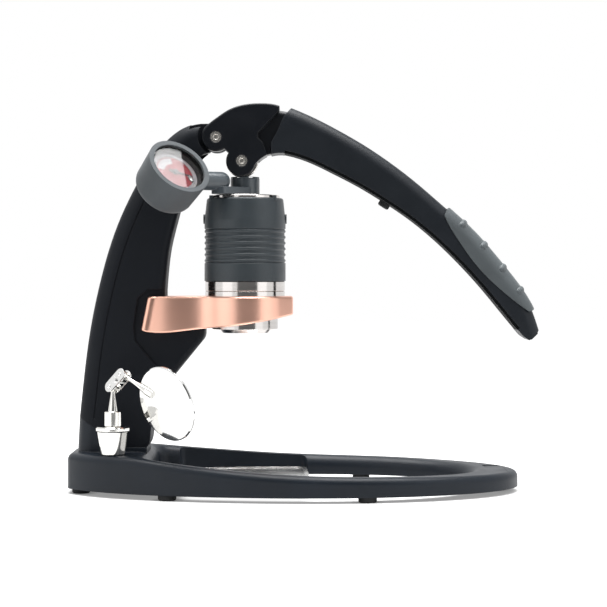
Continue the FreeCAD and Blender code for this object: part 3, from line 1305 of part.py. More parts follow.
def in_gauge(shape):
    """Moves a shape from the gauge's own axes to its place."""
    moved = shape.copy()
    moved.Placement = gauge_placement().multiply(moved.Placement)
    return moved


def arm_line():
    """The elbow point, and the direction and length of the arm to the gauge's middle."""
    start = V(ELBOW_X, ELBOW_Y, ELBOW_TOP)
    end = gauge_placement().multVec(V(0, 0, -BOOT_DEPTH / 2))
    return start, (end - start).normalize(), (end - start).Length


CASE_RADIUS = BOOT_RADIUS - BOOT_WALL


def make_boot():
    """Rubber boot: a cup with a lip in front and a rounded back."""
    back = -BOOT_DEPTH
    bend = BOOT_BACK_ROUND * (1 - sin(pi / 4))
    flank = BOOT_RADIUS - BOOT_TAPER
    side = (flank, back + BOOT_BACK_ROUND)
    rear = (flank - BOOT_BACK_ROUND, back)
    seat = -BOOT_LIP_DEPTH - CASE_DEPTH
    mouth = BOOT_RADIUS - BOOT_LIP
    edges = chain([(mouth, 0), (BOOT_RADIUS, 0), side])
    edges.append(Part.Arc(point(*side), point(flank - bend, back + bend), point(*rear)).toShape())
    edges += chain([rear, (0, back), (0, seat), (CASE_RADIUS, seat), (CASE_RADIUS, -BOOT_LIP_DEPTH),
                    (mouth, -BOOT_LIP_DEPTH), (mouth, 0)])
    cup = in_gauge(Part.Face(Part.Wire(edges)).revolve(V(0, 0, 0), UP, 360))
    start, along, length = arm_line()
    return cup.cut(Part.makeCylinder(ARM_RADIUS, length - TUBE_CIRCLE, start, along))


def make_case():
    """The steel case behind the dial, open towards the glass."""
    front = -BOOT_LIP_DEPTH - BEZEL_DEPTH - LENS_THICKNESS - DIAL_THICKNESS
    rear = -BOOT_LIP_DEPTH - CASE_DEPTH
    inner = CASE_RADIUS - CASE_WALL
    return in_gauge(turned([(0, rear), (CASE_RADIUS, rear), (CASE_RADIUS, front), (inner, front),
                            (inner, rear + CASE_WALL), (0, rear + CASE_WALL)]))


def make_lens():
    front = -BOOT_LIP_DEPTH
    return in_gauge(disc(CASE_RADIUS - FIT, LENS_THICKNESS, 0, 0, front - LENS_THICKNESS))


def make_bezel():
    """Black stepped ring between glass and dial."""
    front = -BOOT_LIP_DEPTH - LENS_THICKNESS
    outer = CASE_RADIUS
    inner = outer - BEZEL_WIDTH
    step = BEZEL_DEPTH / 4
    profile = [(outer, front), (inner, front)]
    for i in range(1, 4):
        z = front - i * step
        profile += [(inner - BEZEL_STEP * (i - 1), z), (inner - BEZEL_STEP * i, z)]
    profile += [(inner - BEZEL_STEP * 3, front - BEZEL_DEPTH), (outer, front - BEZEL_DEPTH)]
    return in_gauge(turned(profile))


def dial_front():
    return -BOOT_LIP_DEPTH - LENS_THICKNESS - BEZEL_DEPTH


def make_dial():
    z = dial_front() - DIAL_THICKNESS
    plate_body = disc(CASE_RADIUS, DIAL_THICKNESS, 0, 0, z)
    return in_gauge(plate_body.cut(disc(ARBOR_RADIUS + ARBOR_ROOM, DIAL_THICKNESS, 0, 0, z)))


def make_needle():
    """Needle on its arbor, which reaches into the movement."""
    z = dial_front() + NEEDLE_LIFT
    half = [(-NEEDLE_TAIL, NEEDLE_HALF), (0, NEEDLE_HALF), (NEEDLE_LENGTH, NEEDLE_TIP_HALF)]
    corners = [V(x, y, z) for x, y in half] + [V(x, -y, z) for x, y in half[::-1]]
    blade = Part.Face(Part.makePolygon(corners + corners[:1])).extrude(V(0, 0, NEEDLE_THICKNESS))
    blade.rotate(V(0, 0, 0), UP, NEEDLE_REST)
    hub = disc(NEEDLE_HUB, HUB_HEIGHT, 0, 0, z - NEEDLE_LIFT / 3)
    arbor = disc(ARBOR_RADIUS, ARBOR_LENGTH, 0, 0, z - ARBOR_LENGTH)
    return in_gauge(blade.fuse([hub, arbor]).removeSplitter())


def make_movement():
    """Plates of the movement, with the bearing of the needle's arbor."""
    top = dial_front() - DIAL_THICKNESS - OVERCUT
    low = top - MOVEMENT_HEIGHT
    floor = -BOOT_LIP_DEPTH - CASE_DEPTH + CASE_WALL
    corner = V(-MOVEMENT_LENGTH / 2, -MOVEMENT_WIDTH / 2, 0)
    plates = [Part.makeBox(MOVEMENT_LENGTH, MOVEMENT_WIDTH, MOVEMENT_PLATE, corner + V(0, 0, z))
              for z in (low, top - MOVEMENT_PLATE)]
    pillar_x = MOVEMENT_LENGTH / 2 - MOVEMENT_PILLAR - MOVEMENT_PLATE / 2
    pillars = [disc(MOVEMENT_PILLAR, MOVEMENT_HEIGHT, x, 0, low) for x in (-pillar_x, pillar_x)]
    foot = disc(MOVEMENT_FOOT, low - floor, 0, 0, floor)
    body = plates[0].fuse([plates[1], foot] + pillars).removeSplitter()
    return in_gauge(body.cut(disc(ARBOR_RADIUS + ARBOR_ROOM, MOVEMENT_HEIGHT, 0, 0, low + MOVEMENT_PLATE)))


def make_pressure_tube():
    """The bent tube that moves the needle, open by a quarter, with its block on the arm's side."""
    z = -BOOT_LIP_DEPTH - CASE_DEPTH + CASE_WALL + TUBE_LIFT
    wide = TUBE_CIRCLE + 2 * TUBE_RADIUS
    ring = Part.makeTorus(TUBE_CIRCLE, TUBE_RADIUS, V(0, 0, z), UP)
    ring = ring.cut(Part.makeBox(wide, wide, 4 * TUBE_RADIUS, V(0, 0, z - 2 * TUBE_RADIUS)))
    block = Part.makeBox(TUBE_BLOCK, TUBE_BLOCK, 2 * (TUBE_LIFT - 2 * FIT),
                         V(TUBE_CIRCLE - TUBE_RADIUS, -TUBE_BLOCK / 2, z - TUBE_LIFT + 2 * FIT))
    return in_gauge(ring.fuse(block).removeSplitter())


def make_elbow():
    """The boss on the stem, its foot, and the arm that carries the gauge."""
    start, along, length = arm_line()
    boss = disc(BOSS_RADIUS, BOSS_HEIGHT, BREW_X, 0, BOSS_BOTTOM)
    foot_end = disc(ARM_RADIUS, ELBOW_FOOT_HEIGHT, ELBOW_X, ELBOW_Y, BOSS_BOTTOM)
    across = V(ELBOW_X - BREW_X, ELBOW_Y, 0)
    side = V(-across.y, across.x, 0).normalize()
    root = V(BREW_X, 0, BOSS_BOTTOM)
    end = V(ELBOW_X, ELBOW_Y, BOSS_BOTTOM)
    wide = side * (BOSS_RADIUS - 4 * FIT)
    narrow = side * ARM_RADIUS
    corners = [root + wide, end + narrow, end - narrow, root - wide]
    bridge = Part.Face(Part.makePolygon(corners + corners[:1])).extrude(UP * ELBOW_FOOT_HEIGHT)
    arm = Part.makeCylinder(ARM_RADIUS, length, start, along)
    ball = Part.makeSphere(ARM_RADIUS, start)
    body = boss.fuse([foot_end, bridge, arm, ball]).removeSplitter()
    case = in_gauge(disc(CASE_RADIUS, BOOT_DEPTH, 0, 0, -BOOT_DEPTH))
    bore = disc(STEM_NECK_RADIUS + RUNNING_GAP, BOSS_HEIGHT, BREW_X, 0, BOSS_BOTTOM)
    return body.cut([case, bore])


# Shot mirror

def clamp_axes():
    """Lower ball, upper ball, and the clamp's normal and long direction."""
    lower = V(MIRROR_X, MIRROR_Y, BALL_HEIGHT)
    normal = V(*CLAMP_NORMAL).normalize()
    reach = V(*CLAMP_REACH)
    reach = reach - normal * reach.dot(normal)
    return lower, lower + reach, normal, V(reach.x, reach.y, reach.z).normalize()


def disc_placement():
    """Local z runs out of the mirror's glass."""
    return FreeCAD.Placement(V(*DISC_CENTRE), FreeCAD.Rotation(UP, V(*DISC_NORMAL).normalize()))


def arm_foot():
    """Where the mirror's arm meets the flat back."""
    normal = V(*DISC_NORMAL).normalize()
    centre = V(*DISC_CENTRE)
    back = centre - normal * (DISC_THICKNESS / 2)
    x, z = ARM_FOOT
    y = back.y - (normal.x * (x - back.x) + normal.z * (z - back.z)) / normal.y
    return V(x, y, z)


def make_mirror_foot():
    low = RING_DECK
    top = low + MIRROR_FOOT_HEIGHT
    edge = MIRROR_FOOT_EDGE
    body = turned([(0, low), (MIRROR_FOOT_LOW - edge, low), (MIRROR_FOOT_LOW, low + edge),
                   (MIRROR_FOOT_HIGH - edge, top - MIRROR_LIP), (MIRROR_FOOT_HIGH, top - MIRROR_LIP + edge),
                   (MIRROR_FOOT_HIGH, top - edge), (MIRROR_FOOT_HIGH - edge, top), (0, top)], MIRROR_X, MIRROR_Y)
    return body.cut(disc(MAGNET_RADIUS, MAGNET_HEIGHT, MIRROR_X, MIRROR_Y, low))


def make_magnet():
    return disc(MAGNET_RADIUS, MAGNET_HEIGHT, MIRROR_X, MIRROR_Y, RING_DECK)


def make_mirror_column():
    """Collar, tapered neck and lower ball in one turned piece."""
    low = RING_DECK + MIRROR_FOOT_HEIGHT
    top = low + MIRROR_COLLAR_HEIGHT
    rim = MIRROR_COLLAR_RADIUS - MIRROR_COLLAR_EDGE
    body = turned([(0, low), (rim, low), (MIRROR_COLLAR_RADIUS, low + MIRROR_COLLAR_EDGE),
                   (MIRROR_COLLAR_RADIUS, top - MIRROR_COLLAR_EDGE), (rim, top), (NECK_LOW, top),
                   (NECK_HIGH, NECK_TOP), (NECK_HIGH, BALL_HEIGHT), (0, BALL_HEIGHT)], MIRROR_X, MIRROR_Y)
    return body.fuse(Part.makeSphere(BALL_RADIUS, V(MIRROR_X, MIRROR_Y, BALL_HEIGHT))).removeSplitter()


def clamp_plate(side):
    """One stadium-shaped plate with a dimple over each ball."""
    lower, upper, normal, along = clamp_axes()
    across = normal.cross(along)
    a = lower + normal * side * CLAMP_GAP
    b = upper + normal * side * CLAMP_GAP
    w = CLAMP_HALF_WIDTH
    edges = [Part.LineSegment(a + across * w, b + across * w).toShape(),
             Part.Arc(b + across * w, b + along * w, b - across * w).toShape(),
             Part.LineSegment(b - across * w, a - across * w).toShape(),
             Part.Arc(a - across * w, a - along * w, a + across * w).toShape()]
    body = Part.Face(Part.Wire(edges)).extrude(normal * side * CLAMP_PLATE)
    middle_point = (lower + upper) * 0.5
    outer = CLAMP_GAP + CLAMP_PLATE
    cuts = [Part.makeCylinder(CLAMP_SCREW_RADIUS, 2 * outer, middle_point - normal * outer, normal)]
    for ball in (lower, upper):
        cuts.append(Part.makeSphere(BALL_RADIUS + RUNNING_GAP, ball))
        cuts.append(Part.makeSphere(DIMPLE_RADIUS, ball + normal * side * (outer + DIMPLE_LIFT)))
    return body.cut(cuts)


def make_clamp_screw():
    lower, upper, normal, _ = clamp_axes()
    middle_point = (lower + upper) * 0.5
    outer = CLAMP_GAP + CLAMP_PLATE
    head = Part.makeCylinder(CLAMP_HEAD_RADIUS, CLAMP_HEAD_HEIGHT, middle_point + normal * outer, normal)
    nut = hexagon(CLAMP_HEAD_RADIUS, CLAMP_HEAD_HEIGHT, middle_point - normal * outer, normal * -1)
    shank = Part.makeCylinder(CLAMP_SCREW_RADIUS, 2 * outer, middle_point - normal * outer, normal)
    return head.fuse([nut, shank]).removeSplitter()


def make_mirror_arm():
    """Upper ball and the arm that widens like a trumpet towards the mirror's back."""
    _, upper, _, _ = clamp_axes()
    reach = arm_foot() - upper
    length = reach.Length
    root = (ARM_THIN, sqrt(BALL_RADIUS ** 2 - ARM_THIN ** 2))
    waist = (ARM_WAIST, (root[1] + length) / 2)
    mouth = (ARM_WIDE, length)
    side = radians(45)
    edges = [Part.Arc(point(0, -BALL_RADIUS), point(BALL_RADIUS * cos(side), BALL_RADIUS * -sin(side)),
                      point(*root)).toShape()]
    edges.append(Part.Arc(point(*root), point(*waist), point(*mouth)).toShape())
    end = length + 2 * ARM_WIDE
    edges += chain([mouth, (ARM_WIDE, end), (0, end), (0, -BALL_RADIUS)])
    body = Part.Face(Part.Wire(edges)).revolve(V(0, 0, 0), UP, 360)
    body.Placement = FreeCAD.Placement(upper, FreeCAD.Rotation(UP, reach))
    ahead = Part.makeBox(2 * DISC_RADIUS, 2 * DISC_RADIUS, DISC_RADIUS,
                         V(-DISC_RADIUS, -DISC_RADIUS, -DISC_THICKNESS / 2))
    ahead.Placement = disc_placement().multiply(ahead.Placement)
    return body.cut(ahead)


def make_mirror_back():
    """Polished dish that holds the glass."""
    back, front = -DISC_THICKNESS / 2, DISC_THICKNESS / 2
    glass = DISC_RADIUS - GLASS_MARGIN
    body = turned([(0, back), (DISC_RADIUS - DISC_EDGE, back), (DISC_RADIUS, back + DISC_EDGE),
                   (DISC_RADIUS, front - DISC_LIP), (DISC_RADIUS - DISC_LIP, front), (glass, front),
                   (glass, front - GLASS_SUNK), (0, front - GLASS_SUNK)])
    body.Placement = disc_placement().multiply(body.Placement)
    return body


def make_mirror_glass():
    glass = disc(DISC_RADIUS - GLASS_MARGIN, GLASS_SUNK - GLASS_DROP, 0, 0, DISC_THICKNESS / 2 - GLASS_SUNK)
    glass.Placement = disc_placement().multiply(glass.Placement)
    return glass


def main():
    os.makedirs("parts", exist_ok=True)
    save("base_ring", make_base_ring())
    save("base_feet", make_feet())
    save("drip_tray", make_tray())
    save("post", make_post())
    save("post_bolts", make_post_bolts())
    save("pivot_bush", make_pivot_bush())
    save("portafilter_bracket", make_bracket())
    save("bracket_bolts", make_bracket_bolts())
    save("portafilter_cup", make_cup())
    save("filter_basket", make_basket())
    save("dispersion_screen", make_screen())
    save("cylinder_gasket", make_gasket())
    save("brew_cylinder", make_cylinder())
    save("cylinder_collar", make_cylinder_collar())
    save("cylinder_sleeve", make_sleeve())
    save("cylinder_cap", make_cylinder_cap())
    save("piston", make_piston())
    save("piston_seals", make_piston_seals())
    save("plunger_stem", make_stem())
    save("plunger_cap", make_plunger_cap())
    save("lever_head", make_lever_head())
    pivot_pin, pivot_screw = pin_pair(PIVOT_X, PIVOT_Z)
    save("pivot_pin", pivot_pin)
    save("pivot_screw", pivot_screw)
    presser_pin, presser_screw = pin_pair(PRESS_X, PRESS_Z)
    save("presser_pin", presser_pin)
    save("presser_screw", presser_screw)
    save("presser_roller", make_roller())
    save("roller_bush", make_roller_bush())
    core = make_grip_core()
    save("lever_handle", make_handle(make_handle_blank(), core))
    save("handle_strip", make_strip())
    save("handle_grip", make_grip(core))
    save("handle_screws", make_handle_screws())
    save("tip_bumper", make_tip_bumper())
    save("rest_bumper", make_rest_bumper())
    save("gauge_elbow", make_elbow())
    save("gauge_boot", make_boot())
    save("gauge_case", make_case())
    save("gauge_lens", make_lens())
    save("gauge_bezel", make_bezel())
    save("gauge_dial", make_dial())
    save("gauge_needle", make_needle())
    save("gauge_movement", make_movement())
    save("pressure_tube", make_pressure_tube())
    save("mirror_foot", make_mirror_foot())
    save("mirror_magnet", make_magnet())
    save("mirror_column", make_mirror_column())
    save("clamp_plate_near", clamp_plate(1))
    save("clamp_plate_far", clamp_plate(-1))
    save("clamp_screw", make_clamp_screw())
    save("mirror_arm", make_mirror_arm())
    save("mirror_back", make_mirror_back())
    save("mirror_glass", make_mirror_glass())


main()
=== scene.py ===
# %% [markdown]
# A lever espresso machine, seen from the side on white.
# Its solids come from the CAD frame. They could be modelled again here, but then sizes and joints
# would drift apart, so each node keeps its shape and only gets a finish. The few pieces that are
# too fine for a solid, such as the print on the gauge, are modelled on top. The frame is loaded
# first, because every piece takes its place from it.

from math import cos, pi, radians, sin

import bmesh
import bpy
from mathutils import Matrix, Vector


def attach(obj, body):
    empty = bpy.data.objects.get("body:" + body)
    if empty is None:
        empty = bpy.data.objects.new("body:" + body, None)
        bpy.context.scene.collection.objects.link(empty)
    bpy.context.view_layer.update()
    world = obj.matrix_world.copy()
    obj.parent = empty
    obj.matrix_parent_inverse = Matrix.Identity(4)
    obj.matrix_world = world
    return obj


MM = 0.001
MICRON = 0.001 * MM

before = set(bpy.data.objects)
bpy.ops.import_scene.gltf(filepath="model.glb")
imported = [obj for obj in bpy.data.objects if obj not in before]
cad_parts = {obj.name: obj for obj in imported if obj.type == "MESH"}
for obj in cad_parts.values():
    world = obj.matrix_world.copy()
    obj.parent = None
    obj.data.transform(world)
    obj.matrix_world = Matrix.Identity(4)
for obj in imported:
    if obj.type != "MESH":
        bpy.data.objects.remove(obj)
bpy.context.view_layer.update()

# %% [markdown]
# The photograph was taken with a long lens from 1.23 m to the side, level with the brew head.
# A camera could be aimed down at the machine, but then upright lines converge. Here it stays level
# and the lens is shifted instead, so that the post and the brew head stand as straight as they do
# in the photograph.

# %% Camera
PICTURE = 607                     # pixels along each side
LENS_PIXELS = 1819.0              # focal length in pixels
HORIZON_ROW = 270.0
CAMERA_DISTANCE = 1.230
CAMERA_HEIGHT = 0.1486
SENSOR = 36.0

lens = bpy.data.cameras.new("side_view")
lens.sensor_width = SENSOR
lens.lens = LENS_PIXELS / PICTURE * SENSOR
lens.shift_y = (HORIZON_ROW - PICTURE / 2) / PICTURE
lens.clip_start = 0.05
lens.clip_end = 50.0
camera = bpy.data.objects.new("side_view", lens)
camera.location = (0.0, -CAMERA_DISTANCE, CAMERA_HEIGHT)
camera.rotation_euler = (pi / 2, 0.0, 0.0)
bpy.context.scene.collection.objects.link(camera)
bpy.context.scene.camera = camera
print("lens", round(lens.lens, 1), "mm, shift", round(lens.shift_y, 4))

# %% [markdown]
# Every finish on the machine is one Principled shader, fed by a few nodes. They could be placed and
# joined by hand in the shader editor. In a script it reads better when one helper makes a node,
# gives it its settings and joins it, so that a material becomes a short list of steps.

# %% A node in one line
def add_node(tree, kind, links=(), **values):
    """A node with its settings: a value that names a socket goes there, any other to the node."""
    node = tree.nodes.new(kind)
    for name, value in values.items():
        if name in node.inputs:
            node.inputs[name].default_value = value
        else:
            setattr(node, name, value)
    for name, source in links:
        tree.links.new(source, node.inputs[name])
    return node


def new_material(name):
    material = bpy.data.materials.new(name)
    material.use_nodes = True
    tree = material.node_tree
    return material, tree, tree.nodes["Principled BSDF"]


print("materials start from one Principled shader each")

# %% [markdown]
# Powder, moulding and grinding leave marks that are never quite even. A picture of such a surface
# could be wrapped round the pieces, but it needs seams and it repeats. Noise in the piece's own
# metres has neither. Stretching those coordinates turns the noise into the lines of a tool.

# %% Noise on a piece
def object_coordinates(tree, stretch=(1.0, 1.0, 1.0)):
    """The piece's own coordinates in metres; a stretch below 1 draws a pattern out that way."""
    spot = add_node(tree, "ShaderNodeTexCoord")
    mapping = add_node(tree, "ShaderNodeMapping", vector_type="TEXTURE",
                       links=[("Vector", spot.outputs["Object"])])
    mapping.inputs["Scale"].default_value = [1.0 / s for s in stretch]
    return mapping.outputs["Vector"]


def noise(tree, place, per_metre, detail=4.0):
    node = add_node(tree, "ShaderNodeTexNoise", links=[("Vector", place)],
                    Scale=per_metre, Detail=detail, Roughness=0.55)
    return node.outputs["Fac"]


print("a noise of 1000 per metre has grains of about a millimetre")

# %% [markdown]
# Noise runs from 0 to 1 and mostly stays near the middle, so it has to be stretched before it can
# drive a colour or a gloss. A Map Range node does that for a number and a Color Ramp for a colour.
# The two tones of a ramp stay close together: on a real coat one sees the change only when looking
# for it.

# %% From noise to gloss and colour
def spread(tree, source, low, high, source_low=0.3, source_high=0.7):
    """Maps the middle of a noise, or another range, onto the values from low to high."""
    node = add_node(tree, "ShaderNodeMapRange", links=[("Value", source)])
    node.inputs["From Min"].default_value = source_low
    node.inputs["From Max"].default_value = source_high
    node.inputs["To Min"].default_value = low
    node.inputs["To Max"].default_value = high
    return node.outputs["Result"]


def two_tones(tree, source, dark, light, low=0.35, high=0.65):
    ramp = add_node(tree, "ShaderNodeValToRGB", links=[("Fac", source)])
    first, last = ramp.color_ramp.elements
    first.position, first.color = low, (*dark, 1.0)
    last.position, last.color = high, (*light, 1.0)
    return ramp.outputs["Color"]


def shade(colour, factor):
    return tuple(channel * factor for channel in colour)


print("a tone 12% darker than mid grey:", [round(v, 2) for v in shade((0.5, 0.5, 0.5), 0.88)])

# %% [markdown]
# Grain and orange peel are a few hundredths of a millimetre high. Real relief that fine would need
# millions of faces, so a Bump node only leans the light on it. The Bevel node does the same for
# edges: a coated or cast edge is never sharp, and the small round catches the lamp as a thin line.

# %% Relief and rounded edges
EDGE_SAMPLES = 6


def bump(tree, height, distance, strength, before=None):
    """Relief from a height in metres, laid over the relief that came before it."""
    links = [("Height", height)] + ([("Normal", before)] if before is not None else [])
    return add_node(tree, "ShaderNodeBump", links=links,
                    Strength=strength, Distance=distance).outputs["Normal"]


def soft_edges(tree, radius):
    """A normal that turns over sharp edges as if they were rounded by this radius."""
    return add_node(tree, "ShaderNodeBevel", Radius=radius, samples=EDGE_SAMPLES).outputs["Normal"]


print("edges are looked up with", EDGE_SAMPLES, "samples")

# %% [markdown]
# A CAD node comes with one plain colour in its material slots. Its mesh could be copied and
# changed, but the frame counts on it staying as it is, so a finish only takes the colour's place,
# node by node. A list of the names that are done shows at the end whether one was forgotten.

# %% Dressing a node
dressed = set()


def dress(finish, *names):
    for name in names:
        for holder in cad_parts[name].material_slots:
            holder.material = finish
        dressed.add(name)
    print(finish.name, "on", ", ".join(names))


print("nodes to dress:", len(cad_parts))

# %% [markdown]
# Ring, post and lever are castings with a powder coat: melted plastic powder, satin, nearly black
# and faintly blue, with an orange-peel surface. A flat dark grey would do from afar. Close by,
# three things tell a coat from a flat colour, and all three are here: clouds in the tone, patches
# in the gloss, and a fine grain over slow waves.

# %% Powder coat
COAT_CLOUDS = 22.0                # patches of colour for each metre
COAT_GLOSS_PATCHES = 60.0
PEEL_GRAIN = 1400.0
PEEL_HEIGHT = 20 * MICRON


def powder_coat(name, colour, roughness, specular, edge):
    material, tree, shader = new_material(name)
    place = object_coordinates(tree)
    colours = two_tones(tree, noise(tree, place, COAT_CLOUDS, 3.0),
                        shade(colour, 0.88), shade(colour, 1.12))
    gloss = spread(tree, noise(tree, place, COAT_GLOSS_PATCHES), roughness - 0.04, roughness + 0.05)
    grain = bump(tree, noise(tree, place, PEEL_GRAIN, 2.0), PEEL_HEIGHT, 0.6,
                 before=soft_edges(tree, edge))
    waves = bump(tree, noise(tree, place, PEEL_GRAIN / 5, 1.0), PEEL_HEIGHT * 3, 0.25, before=grain)
    tree.links.new(colours, shader.inputs["Base Color"])
    tree.links.new(gloss, shader.inputs["Roughness"])
    tree.links.new(waves, shader.inputs["Normal"])
    shader.inputs["Specular IOR Level"].default_value = specular
    return material


print("orange peel", round(PEEL_HEIGHT / MICRON), "micron high")

# %% [markdown]
# Ring, post, lever head and handle are four castings. One material could serve them all, but in the
# photograph the post is the dullest, the lever head the blackest and smoothest, and the ring a
# little lighter than the rest, so each has its own colour, gloss and edge. The handle's colour is
# lighter than the lever head's as painted light: it stands for the light that its lower part faces.

# %% The coated castings
ring_coat = powder_coat("ring_coat", (0.0104, 0.0152, 0.0228), 0.40, 0.28, 1.2 * MM)
post_coat = powder_coat("post_coat", (0.0046, 0.0064, 0.0100), 0.56, 0.20, 1.0 * MM)
lever_coat = powder_coat("lever_coat", (0.0032, 0.0048, 0.0082), 0.34, 0.36, 1.2 * MM)
# painted light: the handle's tone is lighter than the head's, for the light its lower part faces
handle_coat_painted_light = powder_coat("handle_coat_painted_light", (0.0080, 0.0112, 0.0158), 0.47, 0.30, 1.0 * MM)
dress(ring_coat, "base_ring")
dress(post_coat, "post")
dress(lever_coat, "lever_head")
dress(handle_coat_painted_light, "lever_handle")

# %% [markdown]
# Sleeve, grip and gauge boot are moulded silicone: matt, dark grey, a little dusty, and paler
# where light grazes them. A strong sheen would give that pale edge, but it looks like cloth. A
# trace of it over a rough surface with a fine grain stays rubber.

# %% Rubber
RUBBER_DUST = 35.0
RUBBER_GLOSS_PATCHES = 90.0
RUBBER_EDGE = 0.5 * MM


def rubber(name, colour, roughness=0.62, grain=2600.0, specular=0.35):
    material, tree, shader = new_material(name)
    place = object_coordinates(tree)
    colours = two_tones(tree, noise(tree, place, RUBBER_DUST, 5.0),
                        shade(colour, 0.90), shade(colour, 1.10))
    gloss = spread(tree, noise(tree, place, RUBBER_GLOSS_PATCHES),
                   roughness - 0.05, roughness + 0.06)
    skin = bump(tree, noise(tree, place, grain, 3.0), 20 * MICRON, 0.5,
                before=soft_edges(tree, RUBBER_EDGE))
    tree.links.new(colours, shader.inputs["Base Color"])
    tree.links.new(gloss, shader.inputs["Roughness"])
    tree.links.new(skin, shader.inputs["Normal"])
    shader.inputs["Specular IOR Level"].default_value = specular
    shader.inputs["Sheen Weight"].default_value = 0.08
    shader.inputs["Sheen Roughness"].default_value = 0.5
    return material


print("rubber edges rounded by", round(RUBBER_EDGE / MM, 1), "mm")

# %% [markdown]
# The grip and the boot are the palest pieces, the sleeve is darker, and the gauge's arm has a
# smoother, shinier coat. The feet, the bumpers and the seals are plain black rubber. They share one
# function, because only colour, gloss and grain tell them apart.

# %% The rubber pieces
sleeve_rubber = rubber("sleeve_silicone", (0.036, 0.047, 0.055), 0.43, specular=0.50)
grip_rubber = rubber("grip_silicone", (0.098, 0.114, 0.122), 0.50, specular=0.45)
boot_rubber = rubber("boot_silicone", (0.096, 0.108, 0.117))
arm_rubber = rubber("arm_coat", (0.056, 0.072, 0.086), 0.32, 1800.0, 0.78)
foot_rubber = rubber("foot_rubber", (0.020, 0.021, 0.022), 0.7)
seal_rubber = rubber("seal_rubber", (0.030, 0.030, 0.030), 0.5)
dress(sleeve_rubber, "cylinder_sleeve")
dress(grip_rubber, "handle_grip")
dress(boot_rubber, "gauge_boot")
dress(arm_rubber, "gauge_elbow", "plunger_cap")
dress(foot_rubber, "base_feet", "tip_bumper", "rest_bumper")
dress(seal_rubber, "cylinder_gasket", "piston_seals")

# %% [markdown]
# Metal shows little of its own and much of the room, so its finish is mostly gloss. A plain metal
# with one roughness looks like chrome paint. Here one noise drives tint, gloss and relief together,
# as marks of a tool do. A piece that has to mirror cleanly gets no relief at all.

# %% Metal
def metal(name, colour, roughness, streak=(1.0, 1.0, 1.0), relief=1 * MICRON, grain=900.0,
          edge=0.2 * MM):
    material, tree, shader = new_material(name)
    marks = noise(tree, object_coordinates(tree, streak), grain, 3.0)
    tree.links.new(two_tones(tree, marks, shade(colour, 0.94), colour), shader.inputs["Base Color"])
    tree.links.new(spread(tree, marks, roughness * 0.75, roughness * 1.25),
                   shader.inputs["Roughness"])
    if relief:
        leaning = bump(tree, marks, relief, 0.5, before=soft_edges(tree, edge))
        tree.links.new(leaning, shader.inputs["Normal"])
    shader.inputs["Metallic"].default_value = 1.0
    return material


print("metal has one noise for tint, gloss and relief")

# %% [markdown]
# Cylinder, collar, cup, cap and roller are turned steel, bright, with the finest of lines round
# their axis. A wave pattern could draw the lines, but too evenly. Noise that is drawn out along X
# and Y and left fine along Z gives rings of uneven strength.

# %% Turned steel
ROUND_THE_AXIS = (0.05, 0.05, 1.0)
turned_steel = metal("turned_steel", (0.72, 0.69, 0.67), 0.14, ROUND_THE_AXIS, 4 * MICRON)
dress(turned_steel, "portafilter_cup", "filter_basket", "dispersion_screen", "brew_cylinder",
      "cylinder_collar", "cylinder_cap", "presser_roller", "piston", "plunger_stem", "gauge_case")

# %% [markdown]
# The mirror stand is polished. One chrome for all of it would look like a toy: its castings keep a
# soft waviness under the shine, its pressed plates are flat and bright, and the mirror's silver
# must stay without any relief, because the smallest ripple would speckle what it shows.

# %% The mirror's metals
polished_steel = metal("polished_steel", (0.83, 0.83, 0.82), 0.05)
cast_polished = metal("cast_polished", (0.82, 0.81, 0.78), 0.08, relief=10 * MICRON, grain=300.0,
                      edge=0.4 * MM)
mirror_silver = metal("mirror_silver", (0.93, 0.93, 0.93), 0.012, relief=0.0)
dress(cast_polished, "mirror_foot", "mirror_column", "mirror_arm")
dress(polished_steel, "clamp_plate_near", "clamp_plate_far", "clamp_screw", "mirror_back")
dress(mirror_silver, "mirror_glass")

# %% [markdown]
# The turned steel would do for all fasteners, but the two socket head pins sit in the black lever
# head, where the eye goes to them. Their heads are tumbled steel with worn edges, so the grain is
# coarse and the edge wide. The bolts that hold the castings are blackened, and bushes, gauge works
# and tube are brass.

# %% Pins, bolts and brass
pin_steel = metal("pin_steel", (0.78, 0.75, 0.70), 0.24, relief=80 * MICRON, grain=1500.0,
                  edge=0.7 * MM)
bolt_steel = metal("bolt_steel", (0.16, 0.16, 0.17), 0.35)
brass = metal("brass", (0.70, 0.50, 0.20), 0.28)
dress(pin_steel, "pivot_pin", "pivot_screw", "presser_pin", "presser_screw")
dress(bolt_steel, "post_bolts", "bracket_bolts", "handle_screws", "mirror_magnet")
dress(brass, "pivot_bush", "roller_bush", "gauge_movement", "pressure_tube")

# %% [markdown]
# Some of the next finishes need arithmetic between sockets. Each sum could be three lines of nodes
# and links. One helper takes numbers and sockets alike: a number is set on the node, a socket is
# joined to it.

# %% Arithmetic with nodes
def calculate(tree, operation, *values, kind="ShaderNodeMath"):
    node = add_node(tree, kind, operation=operation)
    for socket, value in zip(node.inputs, values):
        if isinstance(value, bpy.types.NodeSocket):
            tree.links.new(value, socket)
        else:
            socket.default_value = value
    return node.outputs[0]


print("arithmetic helper ready")

# %% [markdown]
# The bracket is aluminium, bead blasted and anodised in a copper tone. Its flanks are slightly
# hollow, which shows as two soft dark patches: only there does the metal face the dark card. The
# solid's flanks are flat. A hollow could be sunk into a copy of the mesh, but the CAD node has to
# stay as it is, so the surface's normal is leaned along X instead. The curve gives the lean from
# the rear of the hollow to its front, and 0.5 is upright.

# %% The bracket's hollow, as a curve
HOLLOW_FROM, HOLLOW_TO = -0.110, -0.050      # along X
LEAN_RANGE = 1.2                             # the curve's 0 to 1, half of it to either side
LEAN_CURVE = [(0.0, 0.85), (0.233, 0.85), (0.312, 0.79), (0.40, 0.692), (0.488, 0.592),
              (0.578, 0.50), (0.65, 0.417), (0.70, 0.358), (0.767, 0.358), (0.833, 0.433),
              (0.90, 0.50), (1.0, 0.50)]


